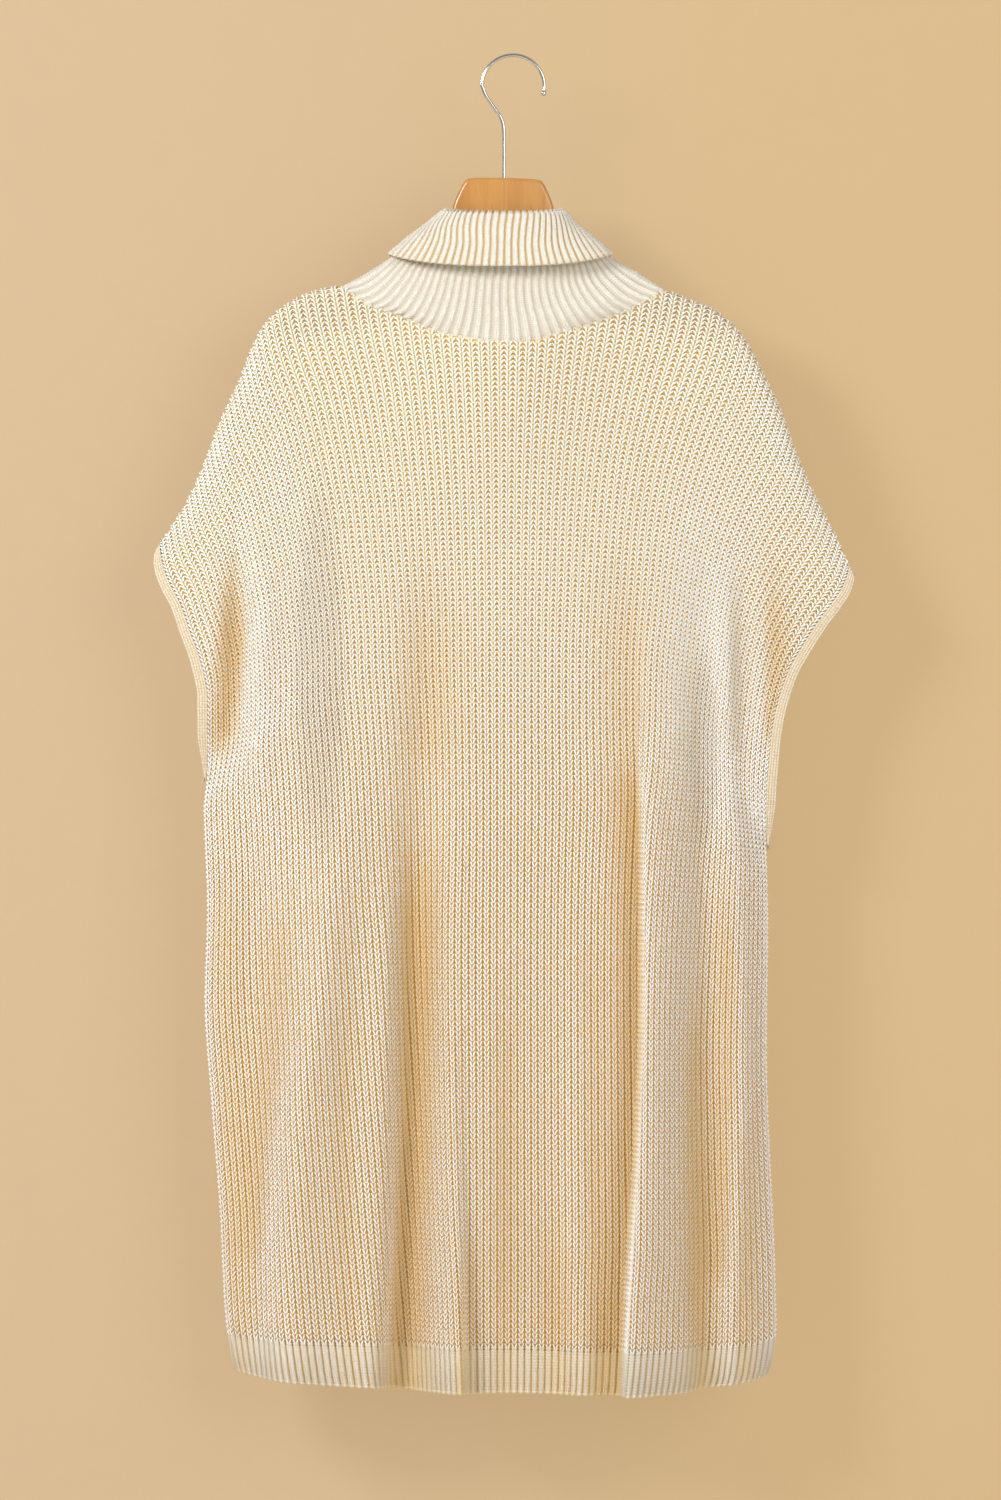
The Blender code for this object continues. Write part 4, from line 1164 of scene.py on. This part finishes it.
def build_hook(material):
    """The wire hook with its rounded tip."""
    route = [tuple(place) for place in smooth_route(HOOK_SHAFT)]
    middle_x, middle_z = HOOK_CROWN_X, -HOOK_INSIDE
    start = math.pi + math.atan2(middle_z - HOOK_SHAFT[-1][1], middle_x - HOOK_SHAFT[-1][0])
    for turn in np.linspace(start, HOOK_END_ANGLE, 90)[1:]:
        across, up = HOOK_RADIUS * math.cos(turn), HOOK_RADIUS * math.sin(turn)
        route.append((middle_x + across, middle_z + up))
    out = Vector((math.sin(HOOK_END_ANGLE), -math.cos(HOOK_END_ANGLE)))
    end = Vector(route[-1])
    radii = [HOOK_WIRE] * len(route)
    for turn in np.linspace(math.radians(140), 0, 14):
        place = end + out * HOOK_BALL * (math.cos(turn) + 0.77)
        route.append((place.x, place.y))
        radii.append(max(HOOK_BALL * math.sin(turn), 0.2))
    curve = bpy.data.curves.new("wire", "CURVE")
    curve.dimensions = "3D"
    curve.bevel_depth = MM
    curve.bevel_resolution = 6
    curve.use_fill_caps = True
    spline = curve.splines.new("POLY")
    spline.points.add(len(route) - 1)
    for point, (a, b), radius in zip(spline.points, route, radii):
        point.co = (*world((a, 0, b)), 1)
        point.radius = radius
    wire = add_object("wire", curve)
    bpy.context.view_layer.update()
    mesh = bpy.data.meshes.new_from_object(wire.evaluated_get(bpy.context.evaluated_depsgraph_get()))
    bpy.data.objects.remove(wire)
    bm = bmesh.new()
    bm.from_mesh(mesh)
    bmesh.ops.remove_doubles(bm, verts=bm.verts, dist=1e-5)
    bmesh.ops.recalc_face_normals(bm, faces=bm.faces)
    bm.to_mesh(mesh)
    bm.free()
    return place_piece("hanger_wire", mesh, material, "hanger_hook")


# ---- stage ----
CAMERA_DISTANCE = 6.0
SENSOR = 36
PIXEL = 0.85  # millimetres of the tunic in one pixel of the picture
PICTURE_WIDE, PICTURE_HIGH = 1001, 1500
SHAFT_PIXEL = (504, 57)  # the hook's shaft and the origin's height in the picture
WALL_Y = 0.075
FLOOR_Z = -1.36
STAGE_TOP_Z = 1.4
STAGE_HALF = 3.0
FLOOR_COLOUR = (0.80, 0.74, 0.64)
# The wall's left and right colour, and what it adds to them as its own light.
WALL_COLOURS = ((0.20, 0.145, 0.088), (0.20, 0.145, 0.079))
WALL_GLOW = ((0.452, 0.33, 0.195), (0.452, 0.32, 0.165))
# Columns: name, place in metres, width and height, power in watts, colour.
LIGHTS = (
    ("key", (-2.2, -2.1, 1.0), 1.0, 86, (0.98, 0.99, 1.0)),
    ("fill", (1.8, -2.6, 0.2), 2.2, 50, (0.98, 0.99, 1.0)),
    ("rear", (0.6, 2.6, 0.6), 1.8, 34, (1.0, 0.97, 0.92)),
)
LIGHTS_AIM = Vector((0, 0, -0.55))
SKY = (1.0, 0.99, 0.975, 1)
SKY_STRENGTH = 0.28


def build_camera():
    """A camera straight behind the tunic, as in the picture."""
    middle_x = ((PICTURE_WIDE / 2 - SHAFT_PIXEL[0]) * PIXEL + SHAFT_X) * MM
    middle_z = (SHAFT_PIXEL[1] - PICTURE_HIGH / 2) * PIXEL * MM
    data = bpy.data.cameras.new("camera")
    data.sensor_width = SENSOR
    data.lens = SENSOR * CAMERA_DISTANCE / (PICTURE_HIGH * PIXEL * MM)
    camera = add_object("camera", data)
    camera.location = (middle_x, -CAMERA_DISTANCE, middle_z)
    camera.rotation_euler = (math.pi / 2, 0, 0)
    bpy.context.scene.camera = camera


def stage_sheet(name, corners, left, right, glow=None):
    """A flat stage surface, from a left to a right colour. One that glows evens out its
    shadows and can't be seen from behind."""
    bm = bmesh.new()
    bm.faces.new([bm.verts.new(corner) for corner in corners])
    mesh = finished_mesh(name, bm)
    shader = Shader(name, Roughness=0.9)
    x, _, _ = shader.axes(shader.place())
    share = x.ramp(-0.45, 0.45)
    plaster = shader.noise(60, 3.0) * 0.06 + 0.97
    both = shader.mix(share, left, right)
    tinted = shader.add("ShaderNodeVectorMath", {"operation": "SCALE"}, {0: both, "Scale": plaster})
    shader.finish(Base_Color=tinted.outputs[0])
    if glow:
        shader.finish(Emission_Color=shader.mix(share, *glow), Emission_Strength=1.0)
        behind = shader.add("ShaderNodeNewGeometry").outputs["Backfacing"]
        clear = shader.add("ShaderNodeBsdfTransparent").outputs[0]
        sockets = {0: behind, 1: shader.surface.outputs[0], 2: clear}
        seen = shader.add("ShaderNodeMixShader", {}, sockets)
        output = shader.tree.nodes["Material Output"]
        shader.set(output, {"Surface": seen.outputs[0]})
    mesh.materials.append(shader.material)
    add_object(name, mesh)


def area_light(name, place, size, power, colour):
    """A soft square light that faces the tunic."""
    data = bpy.data.lights.new(name, "AREA")
    data.shape = "RECTANGLE"
    data.size = data.size_y = size
    data.energy = power
    data.color = colour
    light = add_object(name, data)
    light.location = place
    light.rotation_euler = (LIGHTS_AIM - Vector(place)).to_track_quat("-Z", "Y").to_euler()


def build_stage():
    """Pale floor, warm wall and soft studio light from the upper left."""
    near, far = -STAGE_HALF - 1, STAGE_HALF
    floor = [(x, y, FLOOR_Z) for x, y in ((-far, near), (far, near), (far, far), (-far, far))]
    stage_sheet("floor", floor, FLOOR_COLOUR, FLOOR_COLOUR)
    low, high = FLOOR_Z, STAGE_TOP_Z
    wall = [(x, WALL_Y, z) for x, z in ((-far, low), (far, low), (far, high), (-far, high))]
    stage_sheet("wall", wall, *WALL_COLOURS, WALL_GLOW)
    for light in LIGHTS:
        area_light(*light)
    studio = bpy.data.worlds.new("studio")
    studio.use_nodes = True
    background = studio.node_tree.nodes["Background"]
    background.inputs["Color"].default_value = SKY
    background.inputs["Strength"].default_value = SKY_STRENGTH
    bpy.context.scene.world = studio
    bpy.context.scene.view_settings.view_transform = "Standard"


build_camera()
build_stage()
YARN = yarn_material("cream yarn", (0.97, 0.965, 0.93), (1.0, 1.0, 1.0))
YARN_OF_RIBS = yarn_material("rib yarn", (0.73, 0.66, 0.54), (0.88, 0.82, 0.71))
# The hem's yarn is a darker copy of the cream yarn: painted shade.
SHADED_HEM_YARN = yarn_material("hem yarn in painted shade", (0.64, 0.56, 0.44), (0.84, 0.78, 0.67))
GROUND = sheet_material()
GROUND_OF_RIBS = rib_material()
back_panel, back_sheet, back_stitches = build_panel("back", True, YARN, GROUND)
front_panel, front_sheet, front_stitches = build_panel("front", False, YARN, GROUND)
collar, collar_stitches = build_collar(back_panel, front_panel, YARN_OF_RIBS, GROUND_OF_RIBS)
back_hem, back_hem_stitches = build_hem("back_hem_rib", True, SHADED_HEM_YARN, GROUND_OF_RIBS)
front_hem, front_hem_stitches = build_hem("front_hem_rib", False, SHADED_HEM_YARN, GROUND_OF_RIBS)
(band_left, band_left_stitches), (band_right, band_right_stitches) = (
    build_band("armhole_band_" + name, side, YARN_OF_RIBS, GROUND_OF_RIBS)
    for name, side in (("left", LEFT), ("right", RIGHT))
)
board = build_wood(wood_material())
build_hook(steel_material())
